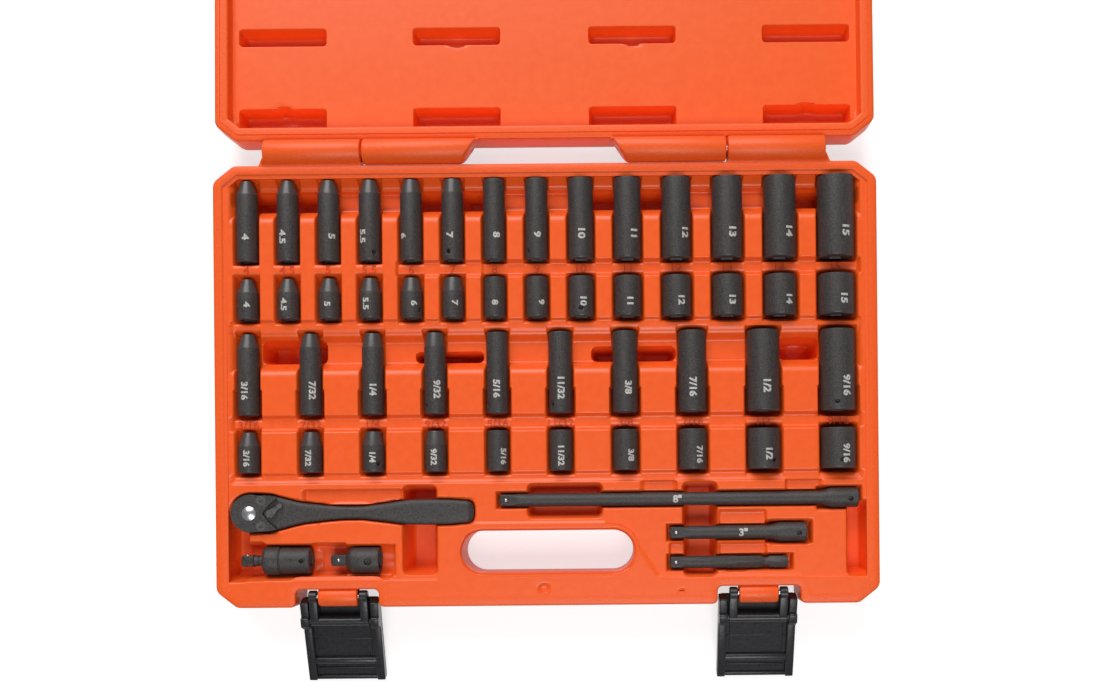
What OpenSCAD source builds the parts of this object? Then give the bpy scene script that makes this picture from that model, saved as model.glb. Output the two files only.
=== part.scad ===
// Socket wrench set in a double-wall case: the case lies open with its lid folded flat behind it.
// X runs along the latches, +Y points to the hinge, +Z up. The origin is on the floor under the
// middle of the base. Millimetres.

/* [Case] */
// Length of one row of sockets, end to end
row_w = 343.8; // [336:0.2:400]
// Wall of the case beside a row of sockets
side_border = 12.1; // [11:0.1:16]
// Wall of the case behind the rearmost row
rear_border = 6.2; // [5:0.1:12]
// Depth of the band in front of the rows that holds the drive tools and the grip
tools_d = 74.8; // [74:0.2:90]
// Height of the base, floor to rim
base_h = 32; // [31:0.5:40]
// Height of the lid, rim to outside face
lid_h = 21.7; // [19:0.1:30]
// Wall thickness of the moulded skins
skin = 2; // [1.5:0.1:2.4]
// Corner chamfer of the case, along the width
corner_x = 11.5; // [8:0.5:15]
// Corner chamfer of the case, along the depth
corner_y = 9; // [6:0.5:12]
// Chamfer round the outside faces of base and lid
edge = 3; // [1.5:0.1:4]
// Width of the raised rim round the base and the lid
rim_w = 5.5; // [4:0.1:6]
// Step down from the base's rim to its land
land_step = 1; // [0.5:0.1:2]
// Step down from the lid's rim to its inner panel
lid_recess = 7; // [6.9:0.1:9]
// Gap between the closed lid and the base
lid_gap = 0.3; // [0.2:0.05:1]

/* [Hinge] */
// Distance of the hinge axis behind the base
hinge_out = 7.5; // [7.4:0.1:12]
// Depth of the hinge axis below the base's rim
hinge_drop = 2; // [1:0.1:4]
// Radius of the hinge knuckles
knuckle_r = 7; // [5:0.1:7]
// Radius of the steel hinge pins
hinge_pin_r = 2; // [1.5:0.1:2.5]
// Nearest end of a lid knuckle to the middle
knuckle_in = 45.7; // [30:0.1:60]
// Parting line between a lid knuckle and a base knuckle
knuckle_mid = 101.5; // [90:0.5:110]
// Far end of a base knuckle
knuckle_out = 155.5; // [130:0.5:160]

/* [Sockets] */
// Length of the deep sockets
deep_len = 45; // [40:0.5:50]
// Length of the shallow sockets
shallow_len = 22.5; // [20:0.5:26]
// Land with the size labels, between a deep and a shallow row
label_gap = 9.5; // [7:0.1:14]
// Growth of the gaps along a metric row, as a share of a gap
row_spread = 0.01; // [0:0.005:0.02]
// Land between the metric rows and the inch rows
row_gap = 8.1; // [6:0.1:12]
// Wall thickness round the hexagon at a tapered nose
nose_wall = 0.75; // [0.6:0.05:1.2]
// Length of the taper behind a nose
nose_len = 7.8; // [5:0.1:10]
// Depth of the drive square in a socket
drive_depth = 8.5; // [7:0.1:10]
// Depth of the hexagon in a deep socket
deep_hex = 16; // [8:0.5:20]
// Depth of the hexagon in a shallow socket
shallow_hex = 10; // [6:0.5:11]

/* [Drive tools] */
// Across the flats of a male drive square
drive_af = 6.2; // [6:0.05:6.3]
// Across the flats of a female drive square
female_af = 6.5; // [6.4:0.05:6.7]
// Space between the short extension and the end of the rows
short_in = 28.1; // [10:0.1:40]
// Width of the wells that a finger reaches into under the tools
finger_w = 18.6; // [16:0.2:22]
// Gap between the end of the ratchet and the long extension
tool_gap = 14.3; // [8:0.1:20]
// Overall length of the long extension
long_len = 199.1; // [150:0.1:205]
// Overall length of the short extension
short_len = 76.1; // [60:0.1:80]
// Overall length of the bit adapter
bit_len = 65.6; // [55:0.1:70]
// Diameter of the extensions' shafts
shaft_d = 7.5; // [6.5:0.1:8]
// Tilt that the universal joint has room for, in degrees
tilt = 18; // [5:1:20]

/* [Carrying handle] */
// Width of the grip in front of the hand opening
grip_w = 18.3; // [14:0.1:22]
// Length of the hand opening
hand_w = 95.5; // [80:0.5:110]
// Height of the hand opening
hand_h = 23.3; // [18:0.1:26]

/* [Latches] */
// Distance of each latch's middle from the end of the case
latch_in = 67; // [60:1:80]
// Width of the notch that a latch folds into
notch_w = 46; // [44.4:0.2:50]
// Depth of that notch
notch_d = 9.9; // [9.5:0.1:12]
// Depth of the latch's pivot below the base's rim
pivot_drop = 4; // [3.4:0.1:5]
// Length of the link between its two pivots
link_len = 15; // [14.4:0.1:15]
// Length of the lever from its pivot to its lip
lever_len = 40; // [37:0.1:40.5]
// Length of the lever from its pivot to its heel
heel_len = 11.5; // [9:0.1:11.5]
// Angle that the open link hangs below level, in degrees
link_hang = 18; // [17:0.5:24]
// Angle that the open lever hangs below level, in degrees
lever_hang = 22; // [14:0.5:22]

/* [Clearances] */
// Gap under a tool that lies in its trough
seat_gap = 0.3; // [0.2:0.05:0.5]
// Gap beside a tool in its trough
side_gap = 0.5; // [0.3:0.05:0.9]
// Gap between the ends of a tool and its trough
end_gap = 0.7; // [0.5:0.1:1.2]
// Radial gap of a pin in a turning part
pin_gap = 0.08; // [0.03:0.01:0.1]
// Gap between moving faces inside the ratchet and the latches
run_gap = 0.3; // [0.2:0.05:0.4]

/* [Hidden] */

$fn = 48;
inch = 25.4;
eps = 0.01;
orange = "orangered";
phosphate = "#373434";
nylon = "#1c1d20";
steel = "silver";

// Sizes across the flats and outside diameters, small to large
metric_af = [4, 4.5, 5, 5.5, 6, 7, 8, 9, 10, 11, 12, 13, 14, 15];
metric_od = [12, 12, 12, 12, 12, 12, 12, 12.4, 13.9, 15, 16.1, 16.9, 17.9, 20.4];
inch_af = [3 / 16, 7 / 32, 1 / 4, 9 / 32, 5 / 16, 11 / 32, 3 / 8, 7 / 16, 1 / 2, 9 / 16] * inch;
inch_od = [12, 12, 12, 12, 12, 12.8, 13.9, 15.6, 18.2, 19.5];

// Case outline and levels
case_w = row_w + 2 * side_border;
hex_gap = 2;
rows_d = 2 * (deep_len + label_gap + shallow_len) + row_gap;
case_d = rear_border + hex_gap + rows_d + tools_d;
rear_y = case_d / 2;
front_y = -case_d / 2;
land_z = base_h - land_step;
axis_z = land_z - 3;
lid_z = base_h + lid_gap;
top_z = lid_z + lid_h;
panel_z = lid_z + lid_recess;

// Rows, from the hinge to the front: where each row's drive ends lie
metric_deep_y = rear_y - rear_border - hex_gap - deep_len;
metric_shallow_y = metric_deep_y - label_gap - shallow_len;
inch_deep_y = metric_shallow_y - row_gap - deep_len;
inch_shallow_y = inch_deep_y - label_gap - shallow_len;

// A trough's straight walls stand this much inside its round floor
wall_in = 0.02;
sheet_gap = 0.05;

// Wells that a finger reaches into, and the pockets in them where both skins meet
well_z = land_z - 12;
well_deck = 17.5;
well_step = 5.5;
tack_z = 2 * skin + 0.1;
tack_in = 25;
tack_out = 123;
tack_w = 49;

// Rows of pockets in the lid: distance from the hinge as a share of the case's depth, width
slot_w = 9.8;
lid_rows = [[0.0834, slot_w + 4], [0.2772, slot_w], [0.4445, slot_w], [0.624, slot_w]];
lid_rim_w = 8;

// Where the tray's bands meet: between the rows, and in front of the inch rows
metric_cut = metric_deep_y - label_gap / 2;
rows_cut = (metric_shallow_y - end_gap + inch_deep_y + deep_len + hex_gap) / 2;
inch_cut = inch_deep_y - label_gap / 2;
tools_cut = inch_shallow_y - end_gap - skin - 1.3;

// Hinge and open lid
hinge_y = rear_y + hinge_out;
hinge_z = base_h - hinge_drop;
lid_reach = hinge_y - front_y;
lid_rise = top_z - hinge_z;
floor_gap = 0.05;
lid_over = asin((hinge_z - floor_gap) / norm([lid_reach, lid_rise])) - atan(lid_rise / lid_reach);
lid_open = 180 + lid_over;
hinge_pin_end = 5;

// Drive tools
square_len = 8;
ball_r = 1.1;
ball_seat = 0.45;
long_y = inch_shallow_y - 16.3;
short_y = long_y - 18.8;
bit_y = short_y - 16.5;
long_x = row_w / 2 + 0.6 - long_len;
short_x = row_w / 2 - short_in - short_len;
long_end_d = 11.2;
short_end_d = 10.8;
end_len = 15;
cone_len = 6;
bit_d = 7;
bit_hex_af = 6.35;
bit_round = 37;
bit_groove = 15;
bit_square = 7;

// Ratchet: its head lies near the end of the case, its handle ends before the long extension
ratchet_x = -case_w / 2 + 19.1;
ratchet_len = long_x - tool_gap - ratchet_x;
ratchet_y = inch_shallow_y - 22.4;
head_r = 10.6;
head_top = axis_z + 3.7;
head_low = axis_z - 5.8;
cover_t = 2;
gear_r = 7.4;
boss_r = 6.1;
boss_low = 1;
gear_low = head_low + 2;
gear_top = head_top - 1.5;
button_r = 3.9;
button_top = head_top + cover_t + 1.3;
button_travel = 1.5;
select_x = 11.8;
select_r = 2.3;
select_len = 7.9;
select_turn = 39;
pawl_r = 3.4;
screw_x = 6.7;
screw_y = 7.1;
screw_head_r = 2.6;
screw_r = 1.1;
// Half width of the ratchet in shares of the head's radius: along the head, where the distance
// is in the same shares, then along the handle, in shares of what is left of the length
head_shape = [[0, 1], [0.566, 0.991], [1.132, 0.943], [1.698, 0.802], [2.264, 0.651], [2.83, 0.528]];
handle_shape = [
    [0.138, 0.387], [0.234, 0.33], [0.34, 0.33], [0.489, 0.491], [0.617, 0.66], [0.745, 0.679],
    [0.872, 0.651],
];
neck_x = 30;
grip_end_r = 6.4;
ratchet_outline = concat(
    [for (p = head_shape) p * head_r],
    [for (p = handle_shape) [neck_x + p[0] * (ratchet_len - neck_x), p[1] * head_r]],
    [[ratchet_len - grip_end_r, grip_end_r]]
);
handle_low = axis_z - 4;
handle_t = 7.6;
head_zone = 23;

// Universal joint and adapter
joint_y = ratchet_y - 26.4;
joint_x = -row_w / 2 + 1.4;
joint_z = axis_z - 1;
joint_neck = 12.4;
joint_ball_x = joint_x + joint_neck + 7;
joint_ball_r = 6;
joint_len = 38.7;
collar_len = 9.2;
collar_d = 16;
barrel_d = 14.9;
joint_pin_r = 1.5;
joint_neck_d = 6.1;
adapter_gap = 11.1;
adapter_x = joint_x + joint_len + adapter_gap;
adapter_len = 27.2;
adapter_d = 14.6;
adapter_square = 9.6;

// Latches
latch_x = case_w / 2 - latch_in;
pivot_z = base_h - pivot_drop;
pivot_y = front_y + 5.7;
lug_w = 22;
lug_r = 5.5;
latch_pin_r = 1.5;
arm_x = 14;
arm_w = 4.5;
arm_r = 3.5;
bar_r = 2.6;
lever_w = 43.6;
cheek_t = 4.6;
plate_n = lug_r + 0.55;
plate_t = 2.5;
rib_u = 26;
rib_t = 2.5;
rib_h = 3;
catch_w = 30;

function total(list, n) = n <= 0 ? 0 : list[n - 1] + total(list, n - 1);
function gap_of(ods) = (row_w - total(ods, len(ods))) / (len(ods) - 1);
function place(ods, i, spread) = -row_w / 2 + total(ods, i) + ods[i] / 2
    + gap_of(ods) * i * (1 + spread * (i - len(ods) + 1) / 2);
function nose_of(af, od) = min(od, af / cos(30) + 2 * nose_wall);

// ---------- shared shapes ----------

// Plan of the case, moved in by inset: a rectangle with cut corners and a notch for each latch
module case_plan(inset, notched = true) {
    x = case_w / 2 - inset;
    y = case_d / 2 - inset;
    cut = inset * (1 - corner_y / (corner_x + corner_y));
    cx = corner_x - cut * 0.4;
    cy = corner_y - cut * 0.4;
    difference() {
        polygon([
            [-x + cx, -y], [x - cx, -y], [x, -y + cy], [x, y - cy],
            [x - cx, y], [-x + cx, y], [-x, y - cy], [-x, -y + cy],
        ]);
        if (notched) {
            for (side = [-1, 1]) {
                translate([side * latch_x, front_y])
                    square([notch_w + 2 * inset, 2 * (notch_d + inset)], center = true);
            }
        }
    }
}

// Hand opening in plan, with round ends
module hand_plan(grow = 0) {
    r = hand_h / 2;
    translate([0, front_y + grip_w + r]) {
        square([hand_w - 2 * r, 2 * (r + grow)], center = true);
        for (side = [-1, 1]) {
            translate([side * (hand_w / 2 - r), 0]) circle(r + grow);
        }
    }
}

// Closed outer form of base or lid, standing on its chamfered face
module tub(height, inset) {
    chamfer = edge;
    hull() {
        translate([0, 0, inset]) linear_extrude(eps) case_plan(inset + chamfer, false);
        translate([0, 0, inset + chamfer]) linear_extrude(eps) case_plan(inset, false);
    }
    translate([0, 0, inset + chamfer])
        linear_extrude(height - inset - chamfer) case_plan(inset, false);
}

// Moulded outer skin of base or lid: open at the rim, with latch notches and a hand opening
module outer_skin(height, rim_cut) {
    difference() {
        intersection() {
            tub(height, 0);
            linear_extrude(height) case_plan(0);
        }
        difference() {
            intersection() {
                tub(height + 1, skin);
                linear_extrude(height + 1) case_plan(skin);
            }
            linear_extrude(rim_cut) hand_plan(skin);
        }
        translate([0, 0, -1]) linear_extrude(height + 2) hand_plan();
    }
}

// A box given by its low and high corners
module block(low, high) {
    translate(low) cube(high - low);
}

// Rod along +Y or +X
module rod_y(y0, y1, r) {
    translate([0, y0, 0]) rotate([-90, 0, 0]) cylinder(h = y1 - y0, r = r);
}

module rod_x(x0, x1, r, r_end = undef) {
    last = is_undef(r_end) ? r : r_end;
    translate([x0, 0, 0]) rotate([0, 90, 0]) cylinder(h = x1 - x0, r1 = r, r2 = last);
}

// Male drive square along +X from x = 0, with its end chamfered round
module drive_square(length) {
    intersection() {
        translate([0, -drive_af / 2, -drive_af / 2]) cube([length, drive_af, drive_af]);
        union() {
            rod_x(0, 0.8, drive_af / 2, drive_af * 0.66);
            rod_x(0.8, length, drive_af * 0.66);
        }
    }
}

// Seat for a detent ball in the upper flat of a drive square at x
module ball_place(x) {
    translate([x, 0, drive_af / 2 - ball_seat]) children();
}

module ball_hole(x) {
    ball_place(x) cylinder(h = 5, r = ball_r + pin_gap, center = true);
}

module ball() {
    color(steel) sphere(ball_r);
}

// ---------- sockets ----------

// One socket lying along +Y, drive end at y = 0
module socket(af, od, length, hex_depth) {
    nose = nose_of(af, od);
    taper = nose < od ? nose_len : 0.8;
    tip = nose < od ? nose / 2 : od / 2 - 0.5;
    bore_r = min(af * 0.98, 8.4) / 2;
    difference() {
        rotate([-90, 0, 0]) rotate_extrude() polygon([
            [0, 0], [od / 2 - 0.6, 0], [od / 2, 0.6], [od / 2, length - taper],
            [tip, length - 0.4], [tip - 0.3, length], [0, length],
        ]);
        translate([0, length - hex_depth, 0]) rotate([-90, 0, 0])
            cylinder(h = hex_depth + 1, r = af / cos(30) / 2 + 0.06, $fn = 6);
        rod_y(drive_depth - 1, length - hex_depth + 1, bore_r);
        translate([-female_af / 2, -1, -female_af / 2])
            cube([female_af, drive_depth + 1, female_af]);
        translate([0, 4.4, 0]) cylinder(h = od, r = 1.3);
    }
}

// The deep and the shallow socket of one size, each in its own trough
module socket_pair(af, od, x, deep_y, shallow_y) {
    color(phosphate) translate([x, 0, axis_z]) {
        translate([0, deep_y, 0]) socket(af, od, deep_len, deep_hex);
        translate([0, shallow_y, 0]) socket(af, od, shallow_len, shallow_hex);
    }
}

module metric_pair(i) {
    x = place(metric_od, i, row_spread);
    socket_pair(metric_af[i], metric_od[i], x, metric_deep_y, metric_shallow_y);
}

module inch_pair(i) {
    x = place(inch_od, i, 0);
    socket_pair(inch_af[i], inch_od[i], x, inch_deep_y, inch_shallow_y);
}

// ---------- case ----------

// Solid knuckle with the web that joins it to a wall, from x0 to x1
module knuckle(x0, x1, web_low, web_high) {
    translate([0, hinge_y, hinge_z]) rod_x(x0, x1, knuckle_r);
    block([x0, rear_y - skin / 2, web_low], [x1, hinge_y, web_high]);
}

module knuckle_bore(gap) {
    translate([0, hinge_y, hinge_z]) rod_x(-case_w, case_w, hinge_pin_r + gap);
}

module base_shell() {
    color(orange) difference() {
        union() {
            outer_skin(base_h, land_z - skin - sheet_gap);
            for (side = [0, 1]) {
                mirror([side, 0, 0]) {
                    knuckle(knuckle_mid, knuckle_out, hinge_z - knuckle_r, base_h);
                    latch_lug();
                }
            }
        }
        knuckle_bore(0.01);
        translate([0, pivot_y, pivot_z]) rod_x(-case_w, case_w, latch_pin_r + 0.01);
    }
}

// Barrel on the base that carries a latch, flat on top to clear the lid
module latch_lug() {
    translate([latch_x, 0, 0]) intersection() {
        union() {
            translate([0, pivot_y, pivot_z]) rod_x(-lug_w / 2, lug_w / 2, lug_r);
            block(
                [-lug_w / 2, pivot_y, pivot_z - lug_r],
                [lug_w / 2, front_y + notch_d + skin / 2, base_h]
            );
        }
        block([-lug_w, front_y - lug_r, 0], [lug_w, front_y + 2 * notch_d, base_h]);
    }
}

// Trough for a rod of radius r along Y, with straight sides up past the land
module trough_y(x, y0, y1, r, grow = 0) {
    rr = r + side_gap + grow;
    low = axis_z - r - seat_gap - grow;
    high = grow > 0 ? land_z : base_h + 1;
    translate([x, 0, low + rr]) rod_y(y0 - grow, y1 + grow, rr);
    wall = rr - wall_in;
    block([x - wall, y0 - grow, low + rr], [x + wall, y1 + grow, high]);
}

// Trough for a rod of radius r along X, its axis at z
module trough_x(x0, x1, y, z, r, grow = 0) {
    rr = r + side_gap + grow;
    low = z - r - seat_gap - grow;
    high = grow > 0 ? land_z : base_h + 1;
    translate([0, y, low + rr]) rod_x(x0 - grow, x1 + grow, rr);
    wall = rr - wall_in;
    block([x0 - grow, y - wall, low + rr], [x1 + grow, y + wall, high]);
}

// Pocket with a flat floor
module pocket(x0, x1, y0, y1, floor_z, grow = 0) {
    high = grow > 0 ? land_z : base_h + 1;
    block([x0 - grow, y0 - grow, floor_z - grow], [x1 + grow, y1 + grow, high]);
}

// One row of socket troughs from y0 to y1
module trough_row(ods, spread, y0, y1, grow) {
    for (i = [0:len(ods) - 1]) {
        trough_y(place(ods, i, spread), y0, y1, ods[i] / 2, grow);
    }
}

// Hollows of a deep row: its troughs, open into the finger well at their far ends
module deep_hollows(ods, spread, y, grow) {
    trough_row(ods, spread, y - end_gap, y + deep_len, grow);
    finger_well(y, grow);
}

module shallow_hollows(ods, spread, y, grow) {
    trough_row(ods, spread, y - end_gap, y + shallow_len + end_gap, grow);
}

// Finger well across the hex ends of a deep row, with four pockets where both skins meet
module finger_well(deep_y, grow) {
    top_y = deep_y + deep_len + hex_gap;
    low_y = top_y - hex_gap - well_deck;
    half = row_w / 2 + 1;
    pocket(-half, half, low_y, top_y, well_z + 5, grow);
    pocket(-half, half, low_y, top_y - well_step, well_z, grow);
    for (side = [-1, 1], inner = [tack_in, tack_out]) {
        middle = side * (inner + tack_w / 2);
        pocket(middle - tack_w / 2, middle + tack_w / 2, low_y, top_y - well_step, tack_z, grow);
    }
}

// Slab of the ratchet's outline, head centre at the origin, handle towards +X
module ratchet_slab(height, grow = 0) {
    upper = [for (p = ratchet_outline) [p[0], p[1] + grow]];
    lower = [for (i = [len(ratchet_outline) - 1:-1:0])
        [ratchet_outline[i][0], -ratchet_outline[i][1] - grow]];
    union() {
        cylinder(h = height, r = head_r + grow);
        linear_extrude(height) polygon(concat(upper, lower));
        translate([ratchet_len - grip_end_r, 0, 0]) cylinder(h = height, r = grip_end_r + grow);
    }
}

// Every hollow that a drive tool lies in or that gives room to its moving parts
module tool_pockets(grow) {
    high = grow > 0 ? land_z : base_h + 1;
    left = -row_w / 2;
    right = row_w / 2;
    deep_floor = land_z - 19;
    wide_floor = land_z - 15;
    low_floor = land_z - 11;
    // ratchet: its outline, then room for its square, its thumb lever and the fingers
    translate([ratchet_x, ratchet_y, head_low - seat_gap - grow])
        ratchet_slab(high - head_low + seat_gap + grow, side_gap + grow);
    square_r = 8;
    pocket(ratchet_x - square_r, ratchet_x + square_r, ratchet_y - square_r, ratchet_y + square_r,
        tack_z + 2, grow);
    pocket(left - 5.5, left + 6.1, joint_y - 11, ratchet_y, deep_floor - 2, grow);
    grip_x = ratchet_x + 0.758 * ratchet_len;
    grip_r = finger_w / 2;
    pocket(grip_x - grip_r, grip_x + grip_r, joint_y - 7, ratchet_y + 14.2, deep_floor, grow);
    // universal joint and adapter
    joint_end = joint_x + joint_len;
    pocket(left + 4, joint_x + joint_neck + 0.6, joint_y - 10, joint_y + 10, deep_floor, grow);
    trough_x(joint_x + joint_neck, joint_end + 5, joint_y, joint_z, collar_d / 2, grow);
    square_w = 8.5;
    pocket(joint_end, adapter_x + adapter_square - 0.6, joint_y - square_w, joint_y + square_w,
        low_floor, grow);
    adapter_end = adapter_x + adapter_len + 7;
    trough_x(adapter_x + 8, adapter_end, joint_y, joint_z, adapter_d / 2, grow);
    // long extension
    bar_end = right + 1.3;
    long_socket = long_x + long_len - end_len - cone_len - 1;
    trough_x(long_x - end_gap, bar_end, long_y, axis_z, shaft_d / 2, grow);
    trough_x(long_socket, bar_end, long_y, axis_z, long_end_d / 2, grow);
    wide_x = long_x + 36.4;
    pocket(wide_x - 20.6, wide_x + 20.5, long_y - 9.6, long_y + 8.7, wide_floor, grow);
    // short extension and bit holder
    short_end = short_x + short_len + 1.8;
    short_socket = short_x + short_len - end_len - cone_len - 1;
    trough_x(short_x - end_gap, short_end, short_y, axis_z, shaft_d / 2, grow);
    trough_x(short_socket, short_end, short_y, axis_z, short_end_d / 2, grow);
    trough_x(short_x - end_gap, short_x + bit_len + 1.8, bit_y, axis_z, bit_hex_af * 0.58, grow);
    trough_x(short_x - end_gap, short_x + bit_square + 1, bit_y, axis_z, drive_af * 0.66, grow);
    well_x = short_x + 17;
    well_r = finger_w / 2;
    pocket(well_x - well_r, well_x + well_r, bit_y - 6.5, long_y + 9, deep_floor, grow);
    pocket(right - 6, right + 6, bit_y - 7.2, long_y - 2, wide_floor - 2, grow);
}

// Band of the tray from y0 to y1; its children are its hollows, first grown by the skin, then as cut
module tray_band(y0, y1) {
    lower = skin + 2 * sheet_gap;
    color(orange) intersection() {
        block([-case_w, y0, 0], [case_w, y1, base_h]);
        difference() {
            union() {
                translate([0, 0, land_z - skin]) linear_extrude(skin) case_plan(skin + sheet_gap);
                translate([0, 0, land_z - skin]) linear_extrude(base_h - land_z + skin) difference() {
                    case_plan(skin + sheet_gap);
                    case_plan(rim_w);
                }
                intersection() {
                    children(0);
                    translate([0, 0, lower]) linear_extrude(land_z - lower) case_plan(skin + sheet_gap);
                }
            }
            children(1);
        }
    }
}

module tray_metric_deep() {
    tray_band(metric_cut, rear_y) {
        deep_hollows(metric_od, row_spread, metric_deep_y, skin);
        deep_hollows(metric_od, row_spread, metric_deep_y, 0);
    }
}

module tray_metric_shallow() {
    tray_band(rows_cut, metric_cut) {
        shallow_hollows(metric_od, row_spread, metric_shallow_y, skin);
        shallow_hollows(metric_od, row_spread, metric_shallow_y, 0);
    }
}

module tray_inch_deep() {
    tray_band(inch_cut, rows_cut) {
        deep_hollows(inch_od, 0, inch_deep_y, skin);
        deep_hollows(inch_od, 0, inch_deep_y, 0);
    }
}

module tray_inch_shallow() {
    tray_band(tools_cut, inch_cut) {
        shallow_hollows(inch_od, 0, inch_shallow_y, skin);
        shallow_hollows(inch_od, 0, inch_shallow_y, 0);
    }
}

module base_tray() {
    tray_band(front_y, tools_cut) {
        tool_pockets(skin);
        union() {
            tool_pockets(0);
            translate([0, 0, -1]) linear_extrude(base_h + 2) hand_plan();
            translate([0, 0, -1]) linear_extrude(land_z - skin + 1) hand_plan(skin + 2 * sheet_gap);
        }
    }
}

// ---------- lid, drawn closed and turned open about the hinge ----------

module opened() {
    translate([0, hinge_y, hinge_z]) rotate([-lid_open, 0, 0])
        translate([0, -hinge_y, -hinge_z]) children();
}

module lid_shell() {
    color(orange) opened() difference() {
        union() {
            translate([0, 0, top_z]) mirror([0, 0, 1]) outer_skin(lid_h, lid_h - skin);
            for (side = [0, 1]) {
                mirror([side, 0, 0]) {
                    knuckle(knuckle_in, knuckle_mid - 0.7, lid_z, hinge_z + knuckle_r);
                    lid_catch();
                }
            }
        }
        knuckle_bore(pin_gap);
    }
}

// Ledge across the lid's notch that the rib inside the lever pulls down on
module lid_catch() {
    seat_z = pivot_z - link_len + rib_u - run_gap;
    back_y = front_y + notch_d + skin / 2;
    block([latch_x - catch_w / 2, front_y + 0.3, lid_z], [latch_x + catch_w / 2, back_y, seat_z]);
}

// The lid's pockets: inner and outer pairs in rows, each down to the outer skin
module lid_pockets(grow) {
    depth = lid_h - lid_recess - 2 * skin - 2 * sheet_gap + grow;
    low = grow > 0 ? panel_z : panel_z - 1;
    intersection() {
        union() {
            pocket_rows(low, depth, grow);
            nose_room(grow);
        }
        translate([0, 0, top_z]) mirror([0, 0, 1])
            tub(lid_h + 1, 2 * skin + sheet_gap - grow);
    }
}

// Room in the lid's corner for the nose of the largest socket
module nose_room(grow) {
    nose_y = metric_deep_y + deep_len + end_gap;
    nose_x = row_w / 2 - metric_od[len(metric_od) - 1];
    low = grow > 0 ? lid_z : lid_z - 1;
    block(
        [nose_x - grow, nose_y - lid_rim_w - grow, low],
        [row_w / 2 + end_gap + grow, nose_y + grow, panel_z + grow]
    );
}

module pocket_rows(low, depth, grow) {
    for (row = lid_rows, side = [-1, 1], inner = [tack_in, tack_out]) {
        middle = side * (inner + tack_w / 2);
        y = hinge_y - row[0] * case_d;
        half = row[1] / 2 + grow;
        block(
            [middle - tack_w / 2 - grow, y - half, low],
            [middle + tack_w / 2 + grow, y + half, panel_z + depth]
        );
    }
}

module lid_inner() {
    color(orange) opened() difference() {
        union() {
            translate([0, 0, lid_z]) linear_extrude(skin) difference() {
                case_plan(skin + sheet_gap);
                case_plan(lid_rim_w);
            }
            translate([0, 0, lid_z]) linear_extrude(lid_recess + skin) difference() {
                case_plan(lid_rim_w - skin);
                case_plan(lid_rim_w);
            }
            translate([0, 0, panel_z]) linear_extrude(skin) case_plan(lid_rim_w - 0.5);
            lid_pockets(skin);
        }
        lid_pockets(0);
        translate([0, 0, lid_z - 1]) linear_extrude(lid_recess + 1) case_plan(lid_rim_w);
        translate([0, 0, lid_z - 1]) linear_extrude(lid_h + 2) hand_plan(skin + 2 * sheet_gap);
    }
}

module hinge_pins() {
    color(steel) for (side = [0, 1]) {
        mirror([side, 0, 0]) translate([0, hinge_y, hinge_z])
            rod_x(knuckle_in + hinge_pin_end, knuckle_out - hinge_pin_end, hinge_pin_r);
    }
}

// ---------- latches ----------

module latch_pins() {
    reach = arm_x + arm_w / 2;
    color(steel) for (side = [-1, 1]) {
        translate([side * latch_x, pivot_y, pivot_z]) rod_x(-reach, reach, latch_pin_r);
    }
}

// Link drawn along -Y from its pivot on the base, then hung below level
module latch_link(side) {
    color(nylon) translate([side * latch_x, pivot_y, pivot_z]) rotate([link_hang, 0, 0]) {
        difference() {
            union() {
                for (arm = [-1, 1]) {
                    x0 = arm * arm_x - arm_w / 2;
                    rod_x(x0, x0 + arm_w, arm_r);
                    block([x0, -link_len, -arm_r + 1], [x0 + arm_w, 0, arm_r - 1]);
                }
                translate([0, -link_len, 0]) {
                    rod_x(-arm_x - arm_w / 2, arm_x + arm_w / 2, bar_r);
                    rod_x(-lever_w / 2 + 1, lever_w / 2 - 1, latch_pin_r);
                }
            }
            rod_x(-case_w, case_w, latch_pin_r + pin_gap);
        }
    }
}

// Lever drawn with its pivot at the origin, lip towards -Y and its hollow side up
module latch_lever(side) {
    inside = lever_w / 2 - cheek_t;
    low = -plate_n - plate_t;
    pin_y = -link_len * cos(link_hang);
    pin_z = -link_len * sin(link_hang);
    color(nylon) translate([side * latch_x, pivot_y + pin_y, pivot_z + pin_z])
        rotate([lever_hang, 0, 0]) difference() {
            union() {
                for (cheek = [-1, 1]) {
                    x0 = cheek > 0 ? inside : -lever_w / 2;
                    block([x0, -5, low], [x0 + cheek_t, heel_len, 0.5]);
                    block([x0, -3, 0], [x0 + cheek_t, 3, 3]);
                    block([x0, -lever_len, low], [x0 + cheek_t, -5, -plate_n + 3.4]);
                }
                block([-lever_w / 2, -lever_len, low], [lever_w / 2, heel_len, -plate_n]);
                block([-inside, -rib_u - rib_t, low], [inside, -rib_u, -plate_n + rib_h]);
                block([-inside, -lever_len, low], [inside, -lever_len + 2.4, -plate_n + 1.8]);
            }
            rod_x(-case_w, case_w, latch_pin_r + pin_gap);
        }
}

// ---------- ratchet ----------

module at_ratchet() {
    translate([ratchet_x, ratchet_y, 0]) children();
}

module ratchet_body() {
    inner_r = gear_r + run_gap;
    color(phosphate) at_ratchet() difference() {
        union() {
            translate([0, 0, head_low]) intersection() {
                ratchet_slab(head_top - head_low);
                block([-head_zone, -head_zone, 0], [head_zone, head_zone, head_top - head_low]);
            }
            translate([0, 0, handle_low]) ratchet_slab(handle_t);
        }
        translate([0, 0, gear_low - run_gap]) cylinder(h = 20, r = inner_r);
        translate([0, 0, head_low - 1]) cylinder(h = 20, r = boss_r + pin_gap);
        translate([select_x, 0, gear_low - run_gap]) cylinder(h = 5, r = pawl_r + 0.4);
        translate([select_x, 0, gear_low]) cylinder(h = 20, r = 1.5 + pin_gap);
        for (side = [-1, 1]) {
            translate([screw_x, side * screw_y, gear_low]) cylinder(h = 20, r = screw_r + 0.01);
        }
    }
}

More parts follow.
